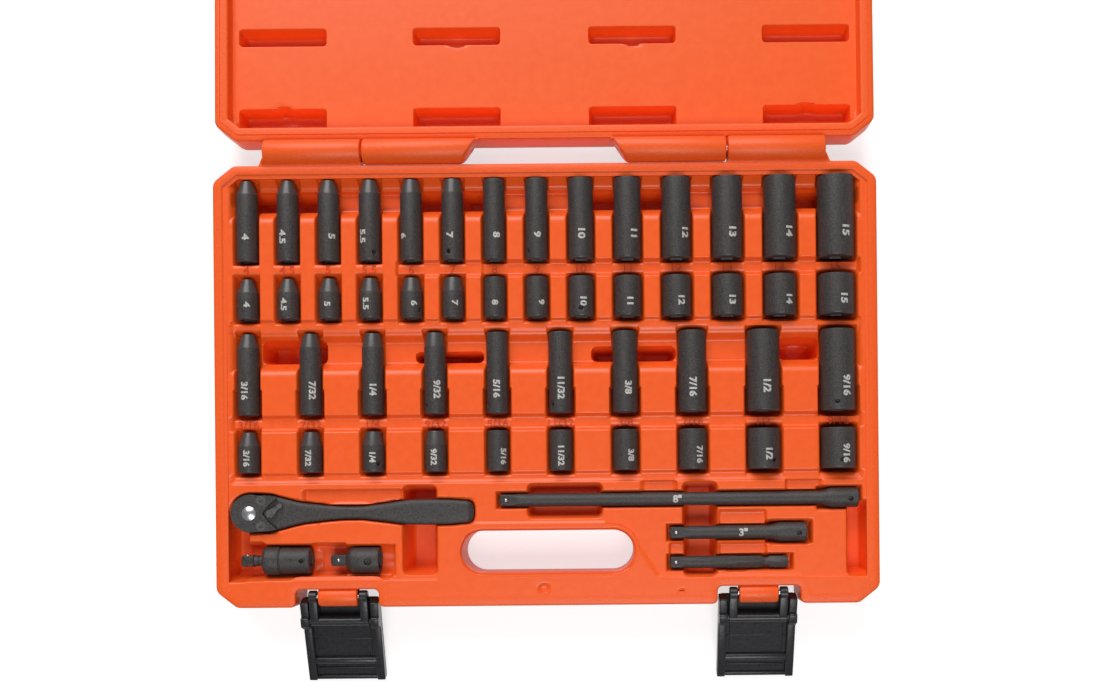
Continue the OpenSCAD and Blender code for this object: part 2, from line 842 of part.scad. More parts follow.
// Round plate that closes the head, cut away in a fan for the selector lever
module ratchet_cover() {
    color(phosphate) at_ratchet() translate([0, 0, head_top]) difference() {
        ratchet_slab(cover_t, -0.5);
        block([select_x + 5, -head_zone, -1], [ratchet_len + 1, head_zone, cover_t + 1]);
        translate([0, 0, -1]) linear_extrude(cover_t + 2)
            polygon([[select_x - 4.4, 0], [select_x - 1.6, 4.2], [30, 22], [30, -22],
                [select_x - 1.6, -4.2]]);
        translate([0, 0, -1]) cylinder(h = 5, r = boss_r + pin_gap);
        for (side = [-1, 1]) {
            translate([screw_x, side * screw_y, -1]) cylinder(h = 5, r = screw_r + 0.01);
            translate([screw_x, side * screw_y, cover_t - 1.4])
                cylinder(h = 1.41, r1 = screw_r + 0.02, r2 = screw_head_r + 0.02);
        }
    }
}

module ratchet_screws() {
    color(phosphate) at_ratchet() for (side = [-1, 1]) {
        translate([screw_x, side * screw_y, 0]) difference() {
            union() {
                translate([0, 0, gear_low + 1])
                    cylinder(h = head_top + cover_t - gear_low - 1, r = screw_r);
                translate([0, 0, head_top + cover_t - 1.4])
                    cylinder(h = 1.4, r1 = screw_r, r2 = screw_head_r);
            }
            translate([0, 0, head_top + cover_t - 1]) cylinder(h = 2, r = 1.1, $fn = 6);
        }
    }
}

// Toothed drive gear with the male square under it and a bore for the release button
module drive_gear() {
    teeth = 36;
    star = [for (i = [0:2 * teeth - 1])
        (gear_r - (i % 2) * 0.7) * [cos(i * 180 / teeth), sin(i * 180 / teeth)]];
    color(phosphate) at_ratchet() difference() {
        union() {
            translate([0, 0, gear_low]) linear_extrude(gear_top - gear_low) polygon(star);
            translate([0, 0, head_low - boss_low])
                cylinder(h = head_top + cover_t - head_low + boss_low, r = boss_r);
            translate([0, 0, head_low - boss_low]) rotate([0, 90, 0]) translate([square_len, 0, 0])
                mirror([1, 0, 0]) drive_square(square_len + 1);
        }
        translate([0, 0, head_top - 1.5]) cylinder(h = 10, r = button_r + pin_gap);
        translate([0, 0, head_low - boss_low - square_len + 2]) cylinder(h = 30, r = 1.2);
        translate([0, 0, head_low - boss_low]) rotate([0, 90, 0]) ball_hole(square_len - 3.4);
    }
}

module release_button() {
    bottom = head_top - 1.5 + button_travel + run_gap;
    stem_low = head_low - boss_low - square_len + 2 + button_travel + run_gap;
    color(steel) at_ratchet() {
        translate([0, 0, bottom]) rotate_extrude() polygon([
            [0, 0], [button_r, 0], [button_r, button_top - bottom - 0.8],
            [button_r - 0.8, button_top - bottom], [0, button_top - bottom],
        ]);
        translate([0, 0, stem_low + 3]) cylinder(h = bottom - stem_low - 2, r = 1.1);
    }
}

module drive_ball() {
    at_ratchet() translate([0, 0, head_low - boss_low]) rotate([0, 90, 0])
        ball_place(square_len - 3.4) ball();
}

module selector_lever() {
    low = head_top + run_gap;
    color(phosphate) at_ratchet() translate([select_x, 0, 0]) rotate([0, 0, select_turn]) {
        translate([0, 0, low]) {
            linear_extrude(1.9) {
                circle(select_r);
                polygon([[0, -select_r], [4, -1.1], [select_len - 1, -1], [select_len - 1, 1],
                    [4, 1.1], [0, select_r]]);
                translate([select_len - 1, 0]) circle(1.3);
            }
        }
        translate([0, 0, gear_low + 4.6]) cylinder(h = low - gear_low - 4.6, r = 1.5);
    }
}

module pawl() {
    color(phosphate) at_ratchet() translate([select_x, 0, gear_low]) rotate([0, 0, select_turn])
        linear_extrude(4.5) intersection() {
            circle(pawl_r);
            translate([-pawl_r + 0.2, 0]) circle(pawl_r);
        }
}

// ---------- universal joint, adapter, extensions ----------

module at_joint() {
    translate([joint_x, joint_y, joint_z]) children();
}

module joint_barrel() {
    start = joint_neck;
    ball_x = joint_ball_x - joint_x;
    color(phosphate) at_joint() difference() {
        union() {
            rod_x(start, start + 1.5, collar_d / 2 - 1.2, collar_d / 2);
            rod_x(start + 1.5, start + collar_len, collar_d / 2);
            rod_x(start + collar_len, joint_len - 1, barrel_d / 2 + 0.2, barrel_d / 2 - 0.2);
            rod_x(joint_len - 1, joint_len, barrel_d / 2 - 0.2, barrel_d / 2 - 1);
        }
        rod_x(start - 1, ball_x, joint_ball_r + 0.15);
        translate([ball_x, 0, 0]) sphere(joint_ball_r + 0.15);
        translate([joint_len - drive_depth, -female_af / 2, -female_af / 2])
            cube([drive_depth + 1, female_af, female_af]);
        translate([ball_x, 0, 0]) rod_y(-20, 20, joint_pin_r + pin_gap);
        translate([joint_len - 4.4, 0, 0]) cylinder(h = 20, r = 1.3);
    }
}

module joint_pin() {
    color(steel) at_joint() translate([joint_ball_x - joint_x, 0, 0])
        rod_y(-collar_d / 2 + 0.6, collar_d / 2 - 0.6, joint_pin_r);
}

// Ball-headed drive end: its pin slot flares so that it can swing about two axes
module joint_drive_end() {
    ball_x = joint_ball_x - joint_x;
    slot = (joint_pin_r + 0.12) / cos(tilt);
    flare = slot + 7 * tan(tilt);
    color(phosphate) at_joint() difference() {
        union() {
            drive_square(6.5);
            rod_x(6, ball_x - 4, joint_neck_d / 2);
            translate([ball_x, 0, 0]) sphere(joint_ball_r);
        }
        translate([ball_x, 0, -joint_pin_r - 0.12]) linear_extrude(2 * joint_pin_r + 0.24)
            polygon([[-slot, 0], [-flare, 7], [flare, 7], [slot, 0], [flare, -7], [-flare, -7]]);
        translate([3, 0, 0]) rotate([-90, 0, 0]) translate([-3, 0, 0]) ball_hole(3);
    }
}

module joint_ball() {
    at_joint() rotate([-90, 0, 0]) ball_place(3) ball();
}

module adapter_body() {
    color(phosphate) translate([adapter_x, joint_y, joint_z]) difference() {
        union() {
            drive_square(8.8);
            rod_x(8.4, 11.6, 4.2, adapter_d / 2);
            rod_x(11.6, adapter_len - 0.8, adapter_d / 2);
            rod_x(adapter_len - 0.8, adapter_len, adapter_d / 2, adapter_d / 2 - 0.6);
        }
        intersection() {
            translate([adapter_len - 10.5, -adapter_square / 2, -adapter_square / 2])
                cube([12, adapter_square, adapter_square]);
            rod_x(adapter_len - 11, adapter_len + 2, adapter_d / 2 - 0.8);
        }
        translate([adapter_len - 6.1, 0, 0]) cylinder(h = 20, r = 2.05);
        ball_hole(4.4);
    }
}

module adapter_ball() {
    translate([adapter_x, joint_y, joint_z]) ball_place(4.4) ball();
}

// Extension bar along +X: drive square, shaft, and a female end of diameter end_d
module extension(length, end_d) {
    cone_x = length - end_len - cone_len;
    difference() {
        union() {
            drive_square(square_len);
            rod_x(square_len - 0.6, square_len, shaft_d / 2 - 0.5, shaft_d / 2);
            rod_x(square_len, cone_x, shaft_d / 2);
            rod_x(cone_x, cone_x + cone_len, shaft_d / 2, end_d / 2);
            rod_x(cone_x + cone_len, length - 0.6, end_d / 2);
            rod_x(length - 0.6, length, end_d / 2, end_d / 2 - 0.5);
        }
        translate([length - drive_depth, -female_af / 2, -female_af / 2])
            cube([drive_depth + 1, female_af, female_af]);
        translate([length - 4.4, 0, 0]) cylinder(h = 20, r = 1.3);
        ball_hole(3.6);
    }
}

module long_extension() {
    color(phosphate) translate([long_x, long_y, axis_z]) extension(long_len, long_end_d);
}

module long_extension_ball() {
    translate([long_x, long_y, axis_z]) ball_place(3.6) ball();
}

module short_extension() {
    color(phosphate) translate([short_x, short_y, axis_z]) extension(short_len, short_end_d);
}

module short_extension_ball() {
    translate([short_x, short_y, axis_z]) ball_place(3.6) ball();
}

module bit_adapter() {
    groove_x = bit_len - bit_groove;
    color(phosphate) translate([short_x, bit_y, axis_z]) difference() {
        union() {
            drive_square(bit_square);
            rod_x(bit_square - 0.6, bit_round, bit_d / 2);
            translate([bit_round - 1, 0, 0]) rotate([0, 90, 0]) rotate([0, 0, 30])
                cylinder(h = bit_len - bit_round + 1, r = bit_hex_af / cos(30) / 2, $fn = 6);
        }
        translate([groove_x, 0, 0]) rotate([0, 90, 0]) rotate_extrude() polygon([
            [2.5, 1.6], [4.5, 0], [4.5, 5], [2.5, 3.4],
        ]);
        ball_hole(3.4);
    }
}

module bit_adapter_ball() {
    translate([short_x, bit_y, axis_z]) ball_place(3.4) ball();
}

base_shell();
base_tray();
tray_metric_deep();
tray_metric_shallow();
tray_inch_deep();
tray_inch_shallow();
lid_shell();
lid_inner();
hinge_pins();
latch_pins();
latch_link(-1);  // latch_link_left
latch_link(1);  // latch_link_right
latch_lever(-1);  // latch_lever_left
latch_lever(1);  // latch_lever_right
ratchet_body();
ratchet_cover();
ratchet_screws();
drive_gear();
release_button();
drive_ball();
selector_lever();
pawl();
joint_barrel();
joint_pin();
joint_drive_end();
joint_ball();
adapter_body();
adapter_ball();
long_extension();
long_extension_ball();
short_extension();
short_extension_ball();
bit_adapter();
bit_adapter_ball();
metric_pair(0);  // sockets_4mm
metric_pair(1);  // sockets_4_5mm
metric_pair(2);  // sockets_5mm
metric_pair(3);  // sockets_5_5mm
metric_pair(4);  // sockets_6mm
metric_pair(5);  // sockets_7mm
metric_pair(6);  // sockets_8mm
metric_pair(7);  // sockets_9mm
metric_pair(8);  // sockets_10mm
metric_pair(9);  // sockets_11mm
metric_pair(10);  // sockets_12mm
metric_pair(11);  // sockets_13mm
metric_pair(12);  // sockets_14mm
metric_pair(13);  // sockets_15mm
inch_pair(0);  // sockets_3_16in
inch_pair(1);  // sockets_7_32in
inch_pair(2);  // sockets_1_4in
inch_pair(3);  // sockets_9_32in
inch_pair(4);  // sockets_5_16in
inch_pair(5);  // sockets_11_32in
inch_pair(6);  // sockets_3_8in
inch_pair(7);  // sockets_7_16in
inch_pair(8);  // sockets_1_2in
inch_pair(9);  // sockets_9_16in
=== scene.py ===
"""A quarter-inch-drive socket set in its moulded case, lid folded flat behind it."""

import math

import bmesh
import bpy
import numpy as np
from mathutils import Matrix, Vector
from mathutils.geometry import tessellate_polygon


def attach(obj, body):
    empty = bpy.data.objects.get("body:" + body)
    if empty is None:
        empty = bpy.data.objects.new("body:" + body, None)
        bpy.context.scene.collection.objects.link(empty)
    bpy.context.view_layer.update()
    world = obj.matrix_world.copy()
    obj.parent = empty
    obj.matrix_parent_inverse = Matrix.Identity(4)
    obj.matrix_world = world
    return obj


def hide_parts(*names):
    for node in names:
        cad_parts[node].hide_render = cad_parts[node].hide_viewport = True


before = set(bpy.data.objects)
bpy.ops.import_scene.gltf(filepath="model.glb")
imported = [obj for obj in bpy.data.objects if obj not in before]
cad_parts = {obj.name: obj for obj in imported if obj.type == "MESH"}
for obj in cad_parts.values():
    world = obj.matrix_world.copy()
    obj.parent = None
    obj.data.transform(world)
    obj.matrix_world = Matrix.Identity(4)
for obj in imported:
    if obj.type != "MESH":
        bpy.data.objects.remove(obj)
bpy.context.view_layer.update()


# ---------- camera and light ----------
# A copy stand: the camera hangs over the case and looks straight down at it. A broad soft lamp
# stands low behind the lid, a weaker one hangs at the latch side, on a white sweep of paper.

camera_data = bpy.data.cameras.new("camera")
camera_data.lens = 40.2
camera_data.sensor_width = 36
camera_data.shift_x = -0.0486
camera_data.shift_y = 0.1295
camera = bpy.data.objects.new("camera", camera_data)
camera.location = (0.0348, -0.0561, 0.7195)
camera.rotation_euler = (0, 0, math.radians(-0.527))
bpy.context.scene.collection.objects.link(camera)
bpy.context.scene.camera = camera
bpy.context.scene.view_settings.view_transform = "Standard"


def linear(red, green, blue):
    """A colour given as 0 to 255 screen values, turned into the light values a shader takes."""
    c = np.array([red, green, blue]) / 255
    c = np.where(c <= 0.04045, c / 12.92, ((c + 0.055) / 1.055) ** 2.4)
    return (*c, 1)


def lamp(name, place, target, size, power):
    """A square soft lamp at place, facing target."""
    data = bpy.data.lights.new(name, "AREA")
    data.energy = power
    data.size = size
    light = bpy.data.objects.new(name, data)
    light.location = place
    light.rotation_euler = (Vector(target) - Vector(place)).to_track_quat("-Z", "Y").to_euler()
    bpy.context.scene.collection.objects.link(light)


lamp("rear_lamp", (-0.5, 2.3, 1.75), (0, 0.1, 0), 2.2, 72)
lamp("front_lamp", (0.1, -0.9, 1.6), (0, 0, 0), 0.8, 14)


def node_in(tree, kind, inputs=None, **settings):
    """A new shader node of that kind, with its settings and the constants on its inputs."""
    made = tree.nodes.new("ShaderNode" + kind)
    for key, value in settings.items():
        setattr(made, key, value)
    for key, value in (inputs or {}).items():
        made.inputs[key].default_value = value
    return made


def wire(tree, *links):
    """Links in a node tree, each given as a node and its output, then a node and its input."""
    for source, output, target, entry in links:
        tree.links.new(source.outputs[output], target.inputs[entry])


white = (1, 1, 1, 1)
world = bpy.data.worlds.new("room")
bpy.context.scene.world = world
world.use_nodes = True
room = world.node_tree
room_light = room.nodes["Background"]
room_light.inputs["Color"].default_value = white
room_light.inputs["Strength"].default_value = 0.17
seen_white = node_in(room, "Background", {"Color": white, "Strength": 1})
room_mix = node_in(room, "MixShader")
wire(
    room,
    (node_in(room, "LightPath"), "Is Camera Ray", room_mix, "Fac"),
    (room_light, "Background", room_mix, 1),
    (seen_white, "Background", room_mix, 2),
    (room_mix, "Shader", room.nodes["World Output"], "Surface"),
)

floor_half = 6
floor_mesh = bpy.data.meshes.new("paper_floor")
floor_mesh.from_pydata(
    [(x * floor_half, y * floor_half, 0) for x, y in ((-1, -1), (1, -1), (1, 1), (-1, 1))],
    [],
    [(0, 1, 2, 3)],
)
paper_floor = bpy.data.objects.new("paper_floor", floor_mesh)
bpy.context.scene.collection.objects.link(paper_floor)
paper = bpy.data.materials.new("white_paper")
paper.use_nodes = True
sheet = paper.node_tree
sheet.nodes.remove(sheet.nodes["Principled BSDF"])
paper_matt = node_in(sheet, "BsdfDiffuse", {"Color": (0.6, 0.6, 0.6, 1)})
paper_glow = node_in(sheet, "Emission", {"Color": white})
paper_path = node_in(sheet, "LightPath")
camera_or_gloss = node_in(sheet, "Math", operation="MAXIMUM")
any_sight = node_in(sheet, "Math", operation="MAXIMUM")
glow_level = node_in(sheet, "Math", {1: 0.66}, operation="MULTIPLY")
paper_sum = node_in(sheet, "AddShader")
wire(
    sheet,
    (paper_path, "Is Camera Ray", camera_or_gloss, 0),
    (paper_path, "Is Glossy Ray", camera_or_gloss, 1),
    (camera_or_gloss, 0, any_sight, 0),
    (paper_path, "Is Transmission Ray", any_sight, 1),
    (any_sight, 0, glow_level, 0),
    (glow_level, 0, paper_glow, "Strength"),
    (paper_matt, 0, paper_sum, 0),
    (paper_glow, 0, paper_sum, 1),
    (paper_sum, 0, sheet.nodes["Material Output"], "Surface"),
)
floor_mesh.materials.append(paper)


# ---------- the base's tray ----------
# The inner wall of the base, blow-moulded from orange polyethylene in one shot with the
# outer wall. Each tool presses into a trough that follows it, and finger wells cut across.

case_x, case_y = 184.0, 122.55
corner_x, corner_y = 11.5, 9.0
notch_x0, notch_x1, notch_y = 94.0, 140.0, -112.65
land = 31.0
rim_top, lid_rim = 32.0, 32.3
axis_z = 28.0
row_start, row_width = -171.9, 343.8
metric_sizes = ["4", "4.5", "5", "5.5", "6", "7", "8", "9", "10", "11", "12", "13", "14", "15"]
metric_od = [12, 12, 12, 12, 12, 12, 12, 12.4, 13.9, 15, 16.1, 16.9, 17.9, 20.4]
inch_sizes = ["3/16", "7/32", "1/4", "9/32", "5/16", "11/32", "3/8", "7/16", "1/2", "9/16"]
inch_od = [12, 12, 12, 12, 12, 12.8, 13.9, 15.6, 18.2, 19.5]
metric_deep_y, metric_shallow_y = 69.35, 37.35
inch_deep_y, inch_shallow_y = -15.75, -47.75
deep_len, shallow_len = 45.0, 22.5


def row_places(diameters, spread):
    """Centres of a row of sockets that fills the row's width, each gap longer than the last by
    spread."""
    d, i = np.array(diameters), np.arange(len(diameters))
    gap = (row_width - d.sum()) / i[-1]
    return row_start + np.cumsum(d) - d / 2 + gap * i * (1 + spread * (i - i[-1]) / 2)


metric_x, inch_x = row_places(metric_od, 0.01), row_places(inch_od, 0)


def soft_low(a, b, r):
    """The lower of two heights with their crossing rounded: min - h*h*r/4, where h = 1 - |a-b|/r,
    0 at least."""
    h = np.maximum(1 - np.abs(a - b) / r, 0)
    return np.minimum(a, b) - h * h * r / 4


def soft_high(a, b, r):
    """The higher of two heights, rounded in the same way."""
    return -soft_low(-a, -b, r)


def box_edge(x, y, x0, x1, y0, y1, r):
    """Distance outside a rectangle whose corners have radius r, negative inside it."""
    qx = np.abs(x - (x0 + x1) / 2) - (x1 - x0) / 2 + r
    qy = np.abs(y - (y0 + y1) / 2) - (y1 - y0) / 2 + r
    return np.hypot(np.maximum(qx, 0), np.maximum(qy, 0)) + np.minimum(np.maximum(qx, qy), 0) - r


def hollow(edge, floor, slope=7.0, fillet=5.0):
    """A pocket: its wall drops by slope for each millimetre inside the edge, and meets the floor
    in a fillet."""
    return soft_high(floor + 0 * edge, land + slope * edge, fillet)


def trough(across, along, radius, low, half, slope=9.0):
    """A round floor of that radius from height low, straight walls above it, and end walls past
    half its length."""
    side = np.minimum(np.abs(across), radius)
    z = low + radius - np.sqrt(radius**2 - side**2) + slope * np.maximum(np.abs(across) - radius, 0)
    return soft_high(z, low + slope * (np.abs(along) - half), 3.0)


def socket_row_troughs(x, y, places, diameters, deep_y, shallow_y, ease):
    """Lowest of all the troughs of a deep row and a shallow row. The front part of a deep trough
    is wider by ease."""
    z = np.full_like(x, 99.0)
    for px, od in zip(places, diameters):
        radius, low = od / 2 + 0.5, axis_z - od / 2 - 0.3
        front = np.clip((deep_y + 14.6 - y) / 1.2, 0, 1)
        z = np.minimum(z, trough(x - px, y - deep_y - 22.4, radius, low, 22.9) - 9 * ease * front)
        z = np.minimum(z, trough(x - px, y - shallow_y - 11.25, radius, low, 11.85, 7))
    return z


def finger_well(x, y, rear, front, shelf, pockets):
    """The well across the hex ends of a deep row: slopes in front and behind, a shelf, a lower
    floor ahead of the shelf, and deep pockets (x0, x1, y0, y1), each with a round boss in the
    middle of its floor."""
    side = 3 * (np.abs(x) - 173.5)
    wall = soft_high(np.maximum(2.3 * (front - y), side), 1.9 * (y - rear), 1.5)
    z = soft_high(23.8 + 0 * x, land + wall, 2.5)
    ahead = box_edge(x, y, -173, 173, front + 4, shelf, 3)
    z = np.minimum(z, soft_high(19.5 + 0 * x, 24.5 + 6 * ahead, 3))
    for x0, x1, y0, y1 in pockets:
        d = box_edge(x, y, x0, x1, y0, y1, 3.0)
        disc = np.clip((np.hypot(x - (x0 + x1) / 2, y - (y0 + y1) / 2) - 5.6) / 0.8, 0, 1)
        z = np.minimum(z, soft_high(5.5 - 1.6 * disc, 20.5 + 8 * d, 3))
    return z


slot_starts, slot_len = (-172.0, -74.0, 25.0, 123.0), 49
metric_well = (115.7, 94.6, 109.6, [(x0, x0 + slot_len, 98.2, 108.4) for x0 in slot_starts])
inch_well = (28.9, 9.6, 11.0, [
    (-158.6, -123.0, 13.4, 25.6), (-73.0, -35.3, 13.2, 19.0),
    (25.3, 72.0, 13.2, 21.0), (130.0, 152.0, 13.4, 25.0),
])

ratchet_x, ratchet_y = -164.9, -70.15
grip_line = np.array([
    [0, 10.6], [6, 10.5], [12, 10], [18, 8.5], [24, 6.9], [30, 5.6], [43, 4.1], [52, 3.5],
    [62, 3.5], [76, 5.2], [88, 7], [100, 7.2], [112, 6.9], [117.6, 6.4],
])
grip_end, grip_end_r = grip_line[-1]
end_power = 3.2


def grip_half(u):
    """Half the ratchet's width at a distance u from the middle of its head."""
    return np.interp(u, grip_line[:, 0], grip_line[:, 1])


def ratchet_edge(x, y, grow):
    """Distance outside the ratchet's plan: a round head, a handle between two curves, and an end
    between a round and a square one."""
    u, v = x - ratchet_x, np.abs(y - ratchet_y)
    head = np.hypot(u, v) - grip_line[0, 1]
    past = np.maximum(u - grip_end, 0)
    end = (past**end_power + v**end_power) ** (1 / end_power) - grip_end_r + 9 * (u < 112)
    handle = np.maximum(v - grip_half(u), np.maximum(-u, u - grip_end))
    return np.minimum(np.minimum(head, end), handle) - grow


joint_x, joint_y, joint_z, joint_len = -170.5, -96.55, 27.0, 38.7
adapter_x, adapter_len = -120.7, 27.2
long_x, long_y, long_len = -26.6, -64.05, 199.1
short_x, short_y, short_len = 67.7, -82.85, 76.1
bit_y, bit_len = -99.35, 65.6
shaft_r = 3.75


def tool_hollows(x, y):
    """Lowest of the hollows that the ratchet, joint, adapter and extensions lie in."""
    z = hollow(ratchet_edge(x, y, 0.6), 21.9, 8, 3)
    pockets = [
        (-172.9, -156.9, -78.15, -62.15, 8.0, 2), (-179.2, -166.0, -107.55, -69, 11.0, 3),
        (-80.1, -61.7, -104.5, -55.6, 10.0, 3), (-172.0, -157.0, -106.8, -86.3, 13.0, 2),
        (-131.8, -111.4, -105.8, -87.3, 20.0, 2), (-168.0, -85.8, -106.2, -88.3, 26.6, 3),
        (-10.8, 30.3, -73.8, -55.2, 16.0, 3), (75.3, 94.1, -106.4, -55.0, 12.0, 3),
        (166.3, 178.4, -107.0, -66.0, 14.0, 3), (121.8, 146.2, -89.4, -76.4, 21.5, 2.5),
    ]
    for x0, x1, y0, y1, floor, r in pockets:
        z = np.minimum(z, hollow(box_edge(x, y, x0, x1, y0, y1, r), floor, 7, 4))
    rods = [
        (-158.1, -126.8, joint_y, joint_z, 8.0), (adapter_x + 8, -86.5, joint_y, joint_z, 7.3),
        (long_x - 0.7, 173.2, long_y, axis_z, shaft_r), (150.5, 173.2, long_y, axis_z, 5.6),
        (short_x - 0.7, 145.6, short_y, axis_z, shaft_r), (121.8, 145.6, short_y, axis_z, 5.4),
        (short_x - 0.7, 135.1, bit_y, axis_z, 3.68),
    ]
    for x0, x1, ry, rz, r in rods:
        z = np.minimum(
            z, trough(y - ry, x - (x0 + x1) / 2, r + 0.5, rz - r - 0.3, (x1 - x0) / 2, 9)
        )
    return z


hand_half, hand_y, hand_r = 36.1, -92.6, 11.65


def hand_edge(x, y, grow=0.0):
    """Distance outside the hand opening, which has straight sides and round ends."""
    return np.hypot(np.maximum(np.abs(x) - hand_half, 0), y - hand_y) - hand_r - grow


step_line = np.array([
    (-184, -107.2), (-61.6, -107.2), (-60.8, -76.1), (31.9, -76.1), (51.9, -92.2), (60.8, -106.1),
    (73.6, -107.2), (184, -107.2),
])


def tray_height(x, y):
    """Height of the tray: the land with its shallow steps, less every hollow, edges rounded."""
    top = np.full_like(x, land)
    bands = [
        (-83.0, 175, 60.3, 69.4, 28.9, 2.0), (-36.2, 175, 60.3, 69.4, 27.9, 2.0),
        (-175, 175, -25.2, -16.2, 28.7, 1.8), (-175, 175, 28.0, 36.7, 29.5, 1.8),
        (-175, 175, -54, -48.4, 29.6, 1.8), (-135.8, -80.3, -66, -57.2, 28.2, 3),
        (51.9, 71.9, -62, -53.3, 27.8, 3), (131.9, 152.5, -62, -53.3, 27.8, 3),
        (94.6, 121.6, -80, -70.2, 28.2, 3), (94.6, 121.6, -96, -88.4, 28.2, 3),
        (67.2, 76.0, -96, -88.4, 28.2, 3), (98.0, 111.3, -105, -96, 28.6, 3),
    ]
    for x0, x1, y0, y1, floor, slope in bands:
        top = soft_low(top, hollow(box_edge(x, y, x0, x1, y0, y1, 1.6), floor, slope, 1.2), 1.4)
    top = top + 0.95 * np.clip((np.interp(x, step_line[:, 0], step_line[:, 1]) - y) / 0.8, 0, 1)
    for px, py, r, deep in ((-2.2, -113.3, 3.0, 1.6), (74.2, -115.2, 1.4, 1.6)):
        d = np.hypot(x - px, y - py) - r
        top = soft_low(top, soft_high(rim_top - deep + 0 * x, rim_top + 4 * d, 0.6), 0.6)
    z = np.minimum(
        socket_row_troughs(x, y, metric_x, metric_od, metric_deep_y, metric_shallow_y, 0),
        socket_row_troughs(x, y, inch_x, inch_od, inch_deep_y, inch_shallow_y, 0.7),
    )
    z = soft_low(z, np.minimum(finger_well(x, y, *metric_well), finger_well(x, y, *inch_well)), 5.0)
    z = np.minimum(z, tool_hollows(x, y))
    z = soft_low(top, z, 8.0)
    return soft_low(z, 27.5 + 9 * hand_edge(x, y), 5.0)


def grid_lines(start, end, step, edges):
    """Rising coordinates from start to end, step apart, and close together round each edge."""
    near = np.array([-1.7, -1.2, -0.85, -0.55, -0.3, -0.1, 0.1, 0.3, 0.55, 0.85, 1.2, 1.7])
    dense = (np.array(edges)[:, None] + near).ravel()
    even = np.arange(start, end, step)
    far = even[np.abs(even[:, None] - np.array(edges)).min(1) > 1.9]
    every = np.sort(np.concatenate([dense[(dense > start) & (dense < end)], far]))
    kept = [start]
    for value in every:
        if value - kept[-1] > 0.16:
            kept.append(value)
    if end - kept[-1] < 0.16:
        kept.pop()
    return np.array([*kept, end])


def grid_faces(rows, cols, wrap_rows=False, wrap_cols=False):
    """Corner numbers of the four-sided faces of a grid, closed up on itself where asked."""
    r = np.arange(rows if wrap_rows else rows - 1)[:, None]
    c = np.arange(cols if wrap_cols else cols - 1)[None, :]
    r1, c1 = (r + 1) % rows, (c + 1) % cols
    corners = [r * cols + c, r * cols + c1, r1 * cols + c1, r1 * cols + c]
    return np.stack(corners, -1).reshape(-1, 4)


def piece(name, points, faces, body, slot, finish, nodes=(), sharp=38):
    """A mesh object from points in millimetres, doubles merged, outward, crisp at edges past the
    angle sharp."""
    mesh = bpy.data.meshes.new(name)
    mesh.from_pydata((np.asarray(points, float) * 0.001).tolist(), [], [list(f) for f in faces])
    bm = bmesh.new()
    bm.from_mesh(mesh)
    bmesh.ops.remove_doubles(bm, verts=bm.verts, dist=2e-7)
    if bm.calc_volume(signed=True) < 0:
        bmesh.ops.reverse_faces(bm, faces=bm.faces)
    bm.to_mesh(mesh)
    bm.free()
    mesh.shade_smooth()
    mesh.set_sharp_from_angle(angle=math.radians(sharp))
    mesh.materials.append(finish)
    made = bpy.data.objects.new(name, mesh)
    bpy.context.scene.collection.objects.link(made)
    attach(made, body)
    if nodes:
        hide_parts(*nodes)
    return made


def grain_group():
    """Noise on Object coordinates at a given size: a 0 to 1 mottle and a bump normal."""
    tree = bpy.data.node_groups.new("surface_grain", "ShaderNodeTree")
    for label, way, kind in (
        ("Size", "INPUT", "Float"), ("Depth", "INPUT", "Float"), ("Detail", "INPUT", "Float"),
        ("Mottle", "OUTPUT", "Float"), ("Normal", "OUTPUT", "Vector"),
    ):
        tree.interface.new_socket(name=label, in_out=way, socket_type="NodeSocket" + kind)
    given, out = tree.nodes.new("NodeGroupInput"), tree.nodes.new("NodeGroupOutput")
    noise = node_in(tree, "TexNoise")
    bump = node_in(tree, "Bump", {"Distance": 0.0002})
    wire(
        tree,
        (node_in(tree, "TexCoord"), "Object", noise, "Vector"),
        (given, "Size", noise, "Scale"),
        (given, "Detail", noise, "Detail"),
        (given, "Depth", bump, "Strength"),
        (noise, "Fac", bump, "Height"),
        (noise, "Fac", out, "Mottle"),
        (bump, "Normal", out, "Normal"),
    )
    return tree


surface_grain = grain_group()


def finish_of(name, colour, low_colour, size, depth, rough, metal=0.0, specular=0.5, detail=3.0):
    """A moulded or metal finish: two close colours mottled by grain, with its bump and gloss.
    Its colours are given as 0 to 255 screen values."""
    made = bpy.data.materials.new(name)
    made.use_nodes = True
    tree = made.node_tree
    shader = tree.nodes["Principled BSDF"]
    shader.inputs["Metallic"].default_value = metal
    shader.inputs["Specular IOR Level"].default_value = specular
    grain = tree.nodes.new("ShaderNodeGroup")
    grain.node_tree = surface_grain
    for label, value in (("Size", size), ("Depth", depth), ("Detail", detail)):
        grain.inputs[label].default_value = value
    mix = node_in(tree, "Mix", data_type="RGBA")
    mix.inputs[6].default_value = linear(*low_colour)
    mix.inputs[7].default_value = linear(*colour)
    gloss = node_in(tree, "MapRange", {"To Min": rough[0], "To Max": rough[1]})
    spread = node_in(tree, "MapRange", {"From Min": 0.3, "From Max": 0.7})
    wire(
        tree,
        (grain, "Mottle", spread, "Value"),
        (spread, "Result", mix, "Factor"),
        (grain, "Mottle", gloss, "Value"),
        (mix, 2, shader, "Base Color"),
        (gloss, "Result", shader, "Roughness"),
        (grain, "Normal", shader, "Normal"),
    )
    return made


tray_plastic = finish_of(
    "tray_plastic", (253, 98, 32), (249, 93, 28), 220, 0.2, (0.31, 0.4), 0.0, 0.5
)


